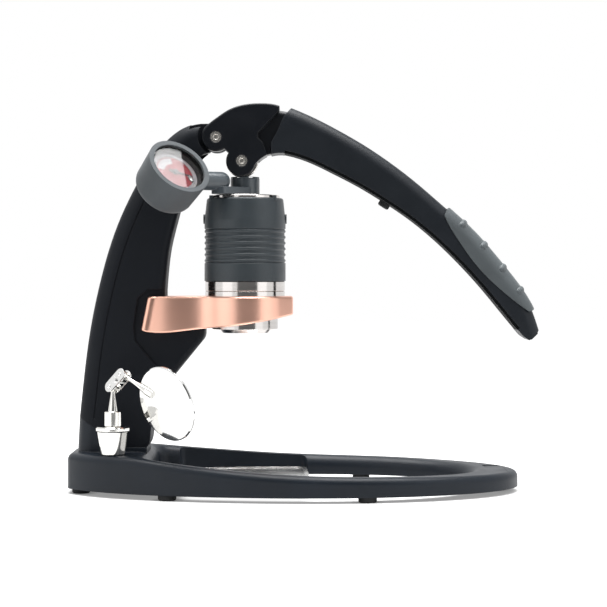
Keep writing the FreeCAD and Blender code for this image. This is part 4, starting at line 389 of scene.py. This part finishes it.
def hollow_lean(tree, x):
    """How far the normal leans along X, for a socket that gives the place along X."""
    share = spread(tree, x, 0.0, 1.0, HOLLOW_FROM, HOLLOW_TO)
    curve = add_node(tree, "ShaderNodeFloatCurve", links=[("Value", share)])
    line = curve.mapping.curves[0]
    line.points[0].location, line.points[-1].location = LEAN_CURVE[0], LEAN_CURVE[-1]
    for along_hollow, lean in LEAN_CURVE[1:-1]:
        line.points.new(along_hollow, lean)
    curve.mapping.update()
    return spread(tree, curve.outputs["Value"], -LEAN_RANGE / 2, LEAN_RANGE / 2, 0.0, 1.0)


print("hollow", round((HOLLOW_TO - HOLLOW_FROM) / MM), "mm long")

# %% [markdown]
# The bracket's top and underside are flat on the real piece too, so the lean must end there. A
# painted mask could do that, but the normal already knows: its Z is near 1 on faces that lie flat
# and near 0 on flanks. The lean fades out between two values of it, and is then added to the normal
# and brought back to length 1.

# %% The bracket's hollow, as a normal
FLANK_BELOW, FLAT_ABOVE = 0.2, 0.6
BRACKET_EDGE = 1.4 * MM


def hollow_normal(tree):
    spot = add_node(tree, "ShaderNodeTexCoord")
    place = add_node(tree, "ShaderNodeSeparateXYZ", links=[("Vector", spot.outputs["Object"])])
    geometry = add_node(tree, "ShaderNodeNewGeometry")
    facing = add_node(tree, "ShaderNodeSeparateXYZ", links=[("Vector", geometry.outputs["Normal"])])
    flatness = calculate(tree, "ABSOLUTE", facing.outputs["Z"])
    on_flank = spread(tree, flatness, 1.0, 0.0, FLANK_BELOW, FLAT_ABOVE)
    lean = calculate(tree, "MULTIPLY", hollow_lean(tree, place.outputs["X"]), on_flank)
    push = add_node(tree, "ShaderNodeCombineXYZ", links=[("X", lean)]).outputs["Vector"]
    leaning = calculate(tree, "ADD", soft_edges(tree, BRACKET_EDGE), push,
                        kind="ShaderNodeVectorMath")
    return calculate(tree, "NORMALIZE", leaning, kind="ShaderNodeVectorMath")


print("bracket edges rounded by", round(BRACKET_EDGE / MM, 1), "mm")

# %% [markdown]
# Blasting leaves a grain so fine that it only blurs what the copper mirrors. It could all be done
# with bump, but a strong bump on such a fine noise sparkles like glitter paint. So most of the blur
# is roughness, and the bump is a trace.

# %% The bracket's copper tone
BLAST_GRAIN = 3600.0
BLAST_HEIGHT = 1.8 * MICRON
COPPER_CLOUDS = 30.0
COPPER_GLOSS_PATCHES = 150.0


def blasted_copper():
    material, tree, shader = new_material("copper_tone")
    place = object_coordinates(tree)
    colours = two_tones(tree, noise(tree, place, COPPER_CLOUDS), (0.930, 0.530, 0.405),
                        (0.955, 0.560, 0.435), 0.3, 0.7)
    gloss = spread(tree, noise(tree, place, COPPER_GLOSS_PATCHES), 0.29, 0.32)
    grain = bump(tree, noise(tree, place, BLAST_GRAIN, 2.0), BLAST_HEIGHT, 0.17,
                 before=hollow_normal(tree))
    tree.links.new(colours, shader.inputs["Base Color"])
    tree.links.new(gloss, shader.inputs["Roughness"])
    tree.links.new(grain, shader.inputs["Normal"])
    shader.inputs["Metallic"].default_value = 1.0
    return material


dress(blasted_copper(), "portafilter_bracket")

# %% [markdown]
# The tray is sheet steel, brushed across the machine and then pressed, so it isn't quite flat. A
# picture of brushed steel would repeat. Noise drawn out along Y never does, and a second, slow
# noise bends the reflections as pressing does.

# %% The tray's brushed sheet
BRUSHED_ALONG_Y = (1.0, 0.02, 1.0)
BRUSH_LINES = 1600.0
BRUSH_DEPTH = 1.5 * MICRON
BUCKLES = 28.0
BUCKLE_HEIGHT = 0.4 * MM
TRAY_GLOSS_PATCHES = 60.0
TRAY_EDGE = 0.4 * MM


def brushed_sheet():
    material, tree, shader = new_material("brushed_sheet")
    place = object_coordinates(tree)
    lines = noise(tree, object_coordinates(tree, BRUSHED_ALONG_Y), BRUSH_LINES, 3.0)
    buckle = bump(tree, noise(tree, place, BUCKLES, 1.0), BUCKLE_HEIGHT, 0.5,
                  before=soft_edges(tree, TRAY_EDGE))
    colours = two_tones(tree, lines, (0.66, 0.66, 0.65), (0.74, 0.74, 0.73))
    gloss = spread(tree, noise(tree, place, TRAY_GLOSS_PATCHES), 0.20, 0.27)
    tree.links.new(colours, shader.inputs["Base Color"])
    tree.links.new(gloss, shader.inputs["Roughness"])
    tree.links.new(bump(tree, lines, BRUSH_DEPTH, 0.4, before=buckle), shader.inputs["Normal"])
    shader.inputs["Metallic"].default_value = 1.0
    return material


dress(brushed_sheet(), "drip_tray")

# %% [markdown]
# What is left is painted, printed or plain plastic: the strip under the handle, the gauge's black
# ring, dial, inks and needle. A single flat colour looks like paper cut-outs under the glass, so
# even these have a slightly uneven tone, gloss and surface.

# %% Paint
PAINT_CLOUDS = 80.0
PAINT_GLOSS_PATCHES = 150.0
PAINT_GRAIN = 500.0
PAINT_HEIGHT = 10 * MICRON


def paint(name, colour, roughness, variation=0.05, specular=0.5):
    material, tree, shader = new_material(name)
    place = object_coordinates(tree)
    colours = two_tones(tree, noise(tree, place, PAINT_CLOUDS),
                        shade(colour, 1 - variation), colour)
    gloss = spread(tree, noise(tree, place, PAINT_GLOSS_PATCHES),
                   roughness - 0.04, roughness + 0.04)
    skin = bump(tree, noise(tree, place, PAINT_GRAIN), PAINT_HEIGHT, 0.4)
    tree.links.new(colours, shader.inputs["Base Color"])
    tree.links.new(gloss, shader.inputs["Roughness"])
    tree.links.new(skin, shader.inputs["Normal"])
    shader.inputs["Specular IOR Level"].default_value = specular
    return material


print("paint is", round(PAINT_HEIGHT / MICRON), "micron rough")

# %% [markdown]
# The strip is a dull plastic that hardly mirrors, and the gauge's parts are painted in three tones:
# a black ring, a white dial, a dark needle. The dial could be pure white, but under the glass that
# would burn out, so it is a light grey with a trace of red.

# %% The painted and plastic pieces
strip_plastic = paint("strip_plastic", (0.006, 0.007, 0.008), 0.75, 0.15, specular=0.12)
ring_paint = paint("bezel_paint", (0.006, 0.006, 0.007), 0.5)
dial_paint = paint("dial_paint", (0.64, 0.61, 0.63), 0.55)
needle_paint = paint("needle_paint", (0.020, 0.020, 0.022), 0.35)
dress(strip_plastic, "handle_strip")
dress(ring_paint, "gauge_bezel")
dress(dial_paint, "gauge_dial")
dress(needle_paint, "gauge_needle")

# %% [markdown]
# The gauge's lens is a flat glass. An alpha-blended pane would be quicker to render, but it would
# not mirror the lamp, and that reflection covers half the dial in the photograph. So it is true
# glass, with an index below that of window glass, as a coated lens has: the dial stays readable.

# %% The gauge's glass
GLASS_INDEX = 1.30
SMEARS = 40.0


def clear_glass():
    material, tree, shader = new_material("clear_glass")
    smears = noise(tree, object_coordinates(tree), SMEARS)
    tree.links.new(spread(tree, smears, 0.0, 0.03), shader.inputs["Roughness"])
    shader.inputs["Transmission Weight"].default_value = 1.0
    shader.inputs["IOR"].default_value = GLASS_INDEX
    return material


dress(clear_glass(), "gauge_lens")
print("nodes dressed", len(dressed), "of", len(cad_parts))

# %% [markdown]
# The gauge looks forward, up and to the near side. Its print could be drawn in place, with every
# point turned by hand. It is far easier to draw flat, on axes of the gauge's own, and to move the
# finished print with one matrix. Its X runs towards the elbow, and its Z comes out of the glass.

# %% The gauge's own axes
GAUGE_FACE = Vector((-0.0804, -0.0500, 0.2160))
GAUGE_OUT = Vector((0.49, -0.62, 0.61)).normalized()
ELBOW = Vector((-0.055, -0.0195, 0.2077))
DIAL_DEPTH = 7.2 * MM             # from the gauge's face to the dial, under lip, glass and ring

to_elbow = ELBOW - GAUGE_FACE
gauge_x = (to_elbow - GAUGE_OUT * to_elbow.dot(GAUGE_OUT)).normalized()
gauge_y = GAUGE_OUT.cross(gauge_x)
gauge_axes = Matrix((gauge_x, gauge_y, GAUGE_OUT)).transposed().to_4x4()
gauge_place = Matrix.Translation(GAUGE_FACE) @ gauge_axes
print("the gauge faces", [round(v, 3) for v in GAUGE_OUT])

# %% [markdown]
# Each piece made here becomes an object that rides on the gauge's arm and carries its finish. The
# object could be placed by its location and rotation. Its place goes into the mesh instead, as with
# a CAD node, because the export puts every object at the origin.
# Counting the open edges tells whether a piece is closed.

# %% From a drawn shape to a piece
WELD = 1e-7


def gauge_piece(shape, name, finish):
    bmesh.ops.remove_doubles(shape, verts=shape.verts, dist=WELD)
    bmesh.ops.recalc_face_normals(shape, faces=shape.faces)
    bmesh.ops.transform(shape, matrix=gauge_place, verts=shape.verts)
    open_edges = sum(1 for edge in shape.edges if not edge.is_manifold)
    mesh = bpy.data.meshes.new(name)
    shape.to_mesh(mesh)
    shape.free()
    mesh.materials.append(finish)
    piece = bpy.data.objects.new(name, mesh)
    bpy.context.scene.collection.objects.link(piece)
    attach(piece, "gauge_arm")
    print(name, "faces", len(mesh.polygons), "open edges", open_edges)


print("pieces are welded at", WELD, "m")

# %% [markdown]
# The dial is a printed sheet: each ink lies on it as a film a few hundredths of a millimetre thick.
# It could be one image, but a shape can be measured and closed. The red zone is a ring, and a ring
# is a small rectangle spun round the middle. A spin all the way round joins its end to its start,
# and the first rectangle, now inside, is taken out.

# %% The dial's red zone
INK = 0.04 * MM
RED_INNER, RED_OUTER = 1.5 * MM, 13.0 * MM
red_ink = paint("red_ink", (0.40, 0.006, 0.020), 0.5, 0.2)


def flat_ring(shape, inner, outer, low, high, start=0.0, turn=2 * pi, steps=96):
    """A flat ring between two radii, closed all round, or a part of one between two angles."""
    outline = ((inner, low), (outer, low), (outer, high), (inner, high))
    corners = [shape.verts.new((radius, 0.0, z)) for radius, z in outline]
    face = shape.faces.new(corners)
    whole = turn > 2 * pi - 0.001
    bmesh.ops.rotate(shape, verts=corners, cent=(0, 0, 0), matrix=Matrix.Rotation(start, 3, "Z"))
    geometry = face.edges[:] + corners + ([] if whole else [face])
    bmesh.ops.spin(shape, geom=geometry, cent=(0, 0, 0), axis=(0, 0, 1), angle=turn, steps=steps,
                   use_merge=whole)
    if whole:
        shape.faces.remove(face)


shape = bmesh.new()
flat_ring(shape, RED_INNER, RED_OUTER, -DIAL_DEPTH - INK / 2, -DIAL_DEPTH + INK)
gauge_piece(shape, "dial_red_zone", red_ink)

# %% [markdown]
# One part of the zone stays pale. On the printed dial the red stops there. Here the pale field is
# laid over the red as a second film, which is simpler than cutting the first and leaves no gap.

# %% The dial's pale field
PALE_INNER, PALE_OUTER = 7.2 * MM, 12.4 * MM
PALE_START, PALE_TURN = radians(84.0), radians(82.0)

shape = bmesh.new()
flat_ring(shape, PALE_INNER, PALE_OUTER, -DIAL_DEPTH, -DIAL_DEPTH + 2 * INK,
          PALE_START, PALE_TURN, 40)
gauge_piece(shape, "dial_pale_field", dial_paint)

# %% [markdown]
# Scale and black ring carry a few hundred short strokes. Each could be an object of its own, but so
# many objects are a burden to a scene. Here a stroke is a rectangle, raised by its own thickness,
# turned to its place and then joined to one shape for the whole row.

# %% A thin bar
def raise_shape(shape, height):
    """Pulls a flat shape up into a closed solid and gives back the points of its top."""
    pulled = bmesh.ops.extrude_face_region(shape, geom=shape.faces[:])["geom"]
    top = [part for part in pulled if isinstance(part, bmesh.types.BMVert)]
    bmesh.ops.translate(shape, verts=top, vec=(0.0, 0.0, height))
    return top


def join(shape, added):
    """Adds a drawn shape to another one."""
    carrier = bpy.data.meshes.new("carrier")
    added.to_mesh(carrier)
    added.free()
    shape.from_mesh(carrier)
    bpy.data.meshes.remove(carrier)


def bar(shape, length, width, height, place):
    """Adds a thin bar to a shape; place moves the bar's own axes to where it lies."""
    stroke = bmesh.new()
    bmesh.ops.create_grid(stroke, x_segments=1, y_segments=1, size=0.5)
    bmesh.ops.scale(stroke, verts=stroke.verts, vec=(length, width, 1.0))
    raise_shape(stroke, height)
    bmesh.ops.transform(stroke, matrix=place, verts=stroke.verts)
    join(shape, stroke)


print("a bar has 6 faces")

# %% [markdown]
# The scale is a thin printed circle with ninety strokes outside it, each sixth one longer and
# wider. An array modifier could repeat one stroke, but all alike. A loop can choose the size of
# each and spreads them over the same sweep as the needle's.

# %% The dial's scale
SCALE_CIRCLE = (13.2 * MM, 13.4 * MM)
STROKE_FOOT = 13.6 * MM
STROKES, LONG_EACH = 90, 6
LONG_STROKE, SHORT_STROKE = (2.2 * MM, 0.26 * MM), (1.4 * MM, 0.16 * MM)     # length, width
NEEDLE_START = radians(-16.0)
NEEDLE_SWEEP = radians(270.0)
mark_ink = paint("mark_ink", (0.10, 0.10, 0.11), 0.6)

shape = bmesh.new()
flat_ring(shape, *SCALE_CIRCLE, -DIAL_DEPTH - INK / 2, -DIAL_DEPTH + INK)
for i in range(STROKES):
    length, width = SHORT_STROKE if i % LONG_EACH else LONG_STROKE
    turn = Matrix.Rotation(NEEDLE_START - NEEDLE_SWEEP * i / STROKES, 4, "Z")
    bar(shape, length, width, INK,
        turn @ Matrix.Translation((STROKE_FOOT + length / 2, 0.0, -DIAL_DEPTH)))
gauge_piece(shape, "dial_scale", mark_ink)

# %% [markdown]
# The dial counts from 0 to 15 in steps of three. Numerals could be drawn by hand, but Blender's own
# font has them. A text is a curve, so it is made a mesh first and only then moved to its place on
# the circle, where it follows the needle's sweep.

# %% The dial's numbers
NUMBER_SIZE = 2.3 * MM
NUMBER_CIRCLE = 9.9 * MM
NUMBER_LIFT = 2.6 * INK
NUMBERS = ["0", "3", "6", "9", "12", "15"]
number_ink = paint("number_ink", (0.70, 0.66, 0.66), 0.6)


def number_mesh(shape, number, spot):
    text = bpy.data.curves.new("number", "FONT")
    text.body = number
    text.size = NUMBER_SIZE
    text.align_x = text.align_y = "CENTER"
    text.extrude = INK / 2
    text.resolution_u = 3
    holder = bpy.data.objects.new("number", text)
    flat = holder.to_mesh()
    flat.transform(Matrix.Translation(spot))
    shape.from_mesh(flat)
    holder.to_mesh_clear()
    bpy.data.objects.remove(holder)
    bpy.data.curves.remove(text)


shape = bmesh.new()
for i, number in enumerate(NUMBERS):
    angle = NEEDLE_START - NEEDLE_SWEEP * i / (len(NUMBERS) - 1)
    number_mesh(shape, number, Vector((cos(angle) * NUMBER_CIRCLE, sin(angle) * NUMBER_CIRCLE,
                                       -DIAL_DEPTH + NUMBER_LIFT)))
gauge_piece(shape, "dial_numbers", number_ink)

# %% [markdown]
# Between glass and dial the case has a black ring that steps inwards, and each step's wall carries
# a row of upright strokes. Their pale tone is partly print and partly a painted reflection of the
# light on the steps. They could be painted on with a pattern, but under glass and at this size a
# pattern blurs. They are the same bars as the scale's: turned about Y until they stand upright,
# pushed out to the wall, then turned to their place. Each row is shifted by a third of the spacing,
# so that the rows don't line up.

# %% The black ring's strokes, with painted reflection
RING_TOP = 2.8                    # from the gauge's face, in millimetres like the next three
RING_STEP = 1.1
RING_WALL = 16.9
RING_STEP_IN = 0.25
MARKED_STEPS = (1, 2, 3)
MARKS = 84
MARK = (0.72 * MM, 0.14 * MM, 0.06 * MM)     # height, width, how far it stands out
MARK_LIFT = 0.02 * MM
# pale tone: partly print, partly painted reflection of the light on the steps
print_and_painted_glint = paint("print_and_painted_glint", (0.36, 0.30, 0.31), 0.6)

shape = bmesh.new()
for step in MARKED_STEPS:
    wall = (RING_WALL - RING_STEP_IN * step) * MM + MARK_LIFT
    height = -(RING_TOP + RING_STEP * (step + 0.5)) * MM
    upright = Matrix.Translation((wall, 0, height)) @ Matrix.Rotation(-pi / 2, 4, "Y")
    for i in range(MARKS):
        turn = Matrix.Rotation(2 * pi * (i + step / 3) / MARKS, 4, "Z")
        bar(shape, *MARK, turn @ upright)
gauge_piece(shape, "ring_strokes_painted_glint", print_and_painted_glint)

# %% [markdown]
# Near the dial's edge sits a small oval stud of bright steel, which catches the lamp. A sphere
# squashed flat would have no rim. A circle scaled to an oval, raised, and with its upper edge
# bevelled gives a flat top with a rounded shoulder, as a pressed stud has.

# %% The dial's stud
STUD_AT = Vector((10.7, -4.1, 0.0)) * MM
STUD_HALF = Vector((1.15, 2.9, 0.0)) * MM
STUD_RISE = 0.55 * MM
STUD_SHOULDER = 0.25 * MM


def oval_plate(half, rise):
    """A flat oval with these half widths, raised; gives the shape and the points of its top."""
    shape = bmesh.new()
    bmesh.ops.create_circle(shape, cap_ends=True, segments=40, radius=1.0)
    bmesh.ops.scale(shape, verts=shape.verts, vec=(half.x, half.y, 1.0))
    return shape, raise_shape(shape, rise)


shape, top = oval_plate(STUD_HALF, STUD_RISE)
lip = [edge for edge in shape.edges if all(point in top for point in edge.verts)]
bmesh.ops.bevel(shape, geom=lip, offset=STUD_SHOULDER, segments=3, profile=0.5, affect="EDGES",
                material=-1)
bmesh.ops.translate(shape, verts=shape.verts, vec=STUD_AT + Vector((0, 0, -DIAL_DEPTH)))
gauge_piece(shape, "dial_stud", polished_steel)

# %% [markdown]
# A black line is printed round the stud. It could be a ring cut to the oval, but the stud hides the
# middle anyway, so it is the same oval plate, a little wider and thin as ink.

# %% The stud's black line
LINE_MARGIN = Vector((0.55, 0.6, 0.0)) * MM

shape, _ = oval_plate(STUD_HALF + LINE_MARGIN, 2.2 * INK)
bmesh.ops.translate(shape, verts=shape.verts, vec=STUD_AT + Vector((0, 0, -DIAL_DEPTH)))
gauge_piece(shape, "dial_stud_ring", ring_paint)

# %% [markdown]
# The machine was photographed in a white studio. A bright world would light it from all sides and
# wash it out, so the world has two strengths: white for the camera, for metal and for glass, which
# all show the studio, and a weak fill for everything else. The Light Path node tells them apart.

# %% World
FILL = 0.30

world = bpy.data.worlds.new("white_surround")
world.use_nodes = True
bpy.context.scene.world = world
tree = world.node_tree
path = add_node(tree, "ShaderNodeLightPath")
seen = calculate(tree, "MAXIMUM", path.outputs["Is Camera Ray"], path.outputs["Is Glossy Ray"])
seen = calculate(tree, "MAXIMUM", seen, path.outputs["Is Transmission Ray"])
surround = tree.nodes["Background"]
surround.inputs["Color"].default_value = (1.0, 1.0, 1.0, 1.0)
tree.links.new(spread(tree, seen, FILL, 1.0, 0.0, 1.0), surround.inputs["Strength"])
print("surround: white where it is seen,", FILL, "as a fill")

# %% [markdown]
# The machine stands on a pale floor that runs out to white. A floor so large that the camera never
# sees its edge needs no curved backdrop. It is a single square.

# %% Floor
FLOOR_HALF = 4.0


def studio_object(shape, name, material):
    """A drawn shape made an object of the studio, which isn't part of the machine."""
    mesh = bpy.data.meshes.new(name)
    shape.to_mesh(mesh)
    shape.free()
    mesh.materials.append(material)
    thing = bpy.data.objects.new(name, mesh)
    bpy.context.scene.collection.objects.link(thing)
    return thing


shape = bmesh.new()
bmesh.ops.create_grid(shape, x_segments=1, y_segments=1, size=FLOOR_HALF)
floor_material, tree, floor_shader = new_material("pale_floor")
floor = studio_object(shape, "floor", floor_material)
print("floor", 2 * FLOOR_HALF, "m wide")

# %% [markdown]
# The floor has to look white and still hold a shadow. More light on it would spoil the black coats,
# so it glows a little, but only for the camera and, less so, for shiny surfaces. Ambient Occlusion
# takes the glow away within a few millimetres of whatever touches it, and leaves the thin dark line
# under the ring and its feet.

# %% The floor's glow
FLOOR_COLOUR = (0.56, 0.56, 0.56, 1.0)
FLOOR_GLOW = 0.86
FLOOR_IN_METAL = 0.75             # share of the glow that shiny surfaces see
CONTACT_REACH = 6 * MM            # how far from a piece its contact shadow fades out

path = add_node(tree, "ShaderNodeLightPath")
nearness = add_node(tree, "ShaderNodeAmbientOcclusion", Distance=CONTACT_REACH)
in_metal = calculate(tree, "MULTIPLY", path.outputs["Is Glossy Ray"], FLOOR_IN_METAL)
seen = calculate(tree, "MAXIMUM", path.outputs["Is Camera Ray"], in_metal)
open_floor = calculate(tree, "MULTIPLY", nearness.outputs["AO"], seen)
glow = calculate(tree, "MULTIPLY", open_floor, FLOOR_GLOW)
tree.links.new(glow, floor_shader.inputs["Emission Strength"])
floor_shader.inputs["Emission Color"].default_value = (1.0, 1.0, 1.0, 1.0)
floor_shader.inputs["Base Color"].default_value = FLOOR_COLOUR
floor_shader.inputs["Roughness"].default_value = 0.9
floor_shader.inputs["Specular IOR Level"].default_value = 0.0
print("floor glow", FLOOR_GLOW, "and", round(FLOOR_GLOW * FLOOR_IN_METAL, 2), "in metal")

# %% [markdown]
# Three soft boxes light the machine: a large one right above, which draws the pale lines along the
# castings' upper edges, and two weak ones left and right of the camera. Small lamps would give hard
# shadows, which the photograph doesn't have. The lamp above is turned until its mirror image ends
# in a nearly upright line in the gauge's glass.

# %% Lamps
MIDDLE = Vector((0.0, 0.0, 0.12))
SIDE_LAMP = (1.2, 1.4)
SIDE_RADIANCE = 0.5
TOP_LAMP = (1.25, 1.10)
TOP_RADIANCE = 8.0
TOP_PLACE = Vector((0.03, 0.053, 1.4))
TOP_TURN = radians(-30.4)


def soft_lamp(name, place, size, radiance, rotation):
    """A rectangular lamp; its power follows from how bright its face is."""
    data = bpy.data.lights.new(name, "AREA")
    data.shape = "RECTANGLE"
    data.size, data.size_y = size
    data.energy = radiance * pi * size[0] * size[1]
    lamp = bpy.data.objects.new(name, data)
    lamp.location = place
    lamp.rotation_euler = rotation
    bpy.context.scene.collection.objects.link(lamp)
    print(name, round(data.energy, 1), "W")


for name, side in (("lamp_left", -1), ("lamp_right", 1)):
    place = Vector((1.6 * side, -1.3, 0.7))
    soft_lamp(name, place, SIDE_LAMP, SIDE_RADIANCE,
              (MIDDLE - place).to_track_quat("-Z", "Y").to_euler())
soft_lamp("lamp_above", TOP_PLACE, TOP_LAMP, TOP_RADIANCE, (0.0, 0.0, TOP_TURN))

# %% [markdown]
# Polished steel in a white room has no shape: it needs something dark to mirror. In a studio that
# is a black card, kept out of the picture. This one lies on the floor in front of the machine and
# stands up behind the camera, so it draws the dark stripe on cylinder, cup and mirror foot. It is
# hidden from the camera and holds back no light. One edge is drawn and then pulled from row to row.

# %% Dark card
CARD_X = (-0.63, 1.19)
CARD_NEAR_X = (-0.23, 0.27)       # it is narrower where it begins
CARD_NEAR_Y, CARD_FAR_Y = -0.46, -1.6
CARD_LIFT = 3 * MM
CARD_TOP = 1.3


def dark_card(name, rows, grey):
    """A card that only shows in shiny surfaces; each row gives its two ends."""
    shape = bmesh.new()
    ends = [shape.verts.new(end) for end in rows[0]]
    edge = shape.edges.new(ends)
    for row in rows[1:]:
        pulled = bmesh.ops.extrude_edge_only(shape, edges=[edge])["geom"]
        edge = next(part for part in pulled if isinstance(part, bmesh.types.BMEdge)
                    and not any(end in ends for end in part.verts))
        ends = sorted(edge.verts, key=lambda point: (point.co - ends[0].co).length)
        for end, corner in zip(ends, row):
            end.co = corner
    card = studio_object(shape, name, paint(name + "_grey", (grey, grey, grey), 0.9))
    card.visible_camera = False
    card.visible_shadow = False
    card.visible_diffuse = False
    card.visible_transmission = False
    print(name, "faces", len(card.data.polygons))


card_rows = [(CARD_NEAR_X, CARD_NEAR_Y, CARD_LIFT), (CARD_X, CARD_FAR_Y, CARD_LIFT),
             (CARD_X, CARD_FAR_Y, CARD_TOP)]
dark_card("dark_card", [[(x, y, z) for x in ends] for ends, y, z in card_rows], 0.17)

# %% [markdown]
# The reflection in the gauge's glass ends sharply, and beside it the dial's red is clear. On white
# the lamp's edge would hardly show there. A second card, nearly black, begins where the lamp ends,
# on the side away from the camera.

# %% Dark card beside the lamp
CARD_ENDS = (-0.4, 1.2)           # along the lamp's edge
CARD_DEPTH = 0.8

edge_way = Vector((cos(TOP_TURN), sin(TOP_TURN), 0.0))
away = Vector((-sin(TOP_TURN), cos(TOP_TURN), 0.0))
lamp_end = TOP_PLACE + away * TOP_LAMP[1] / 2
dark_card("dark_card_above", [[lamp_end + away * far + edge_way * s for s in CARD_ENDS]
                              for far in (0.0, CARD_DEPTH)], 0.03)

# %% [markdown]
# Blender's default view bends colours as a film does: whites turn grey and the copper pale. The
# plain view shows each colour as it is written here, which makes the finishes easy to compare with
# the photograph.

# %% View settings
bpy.context.scene.view_settings.view_transform = "Standard"
print("view", bpy.context.scene.view_settings.view_transform)
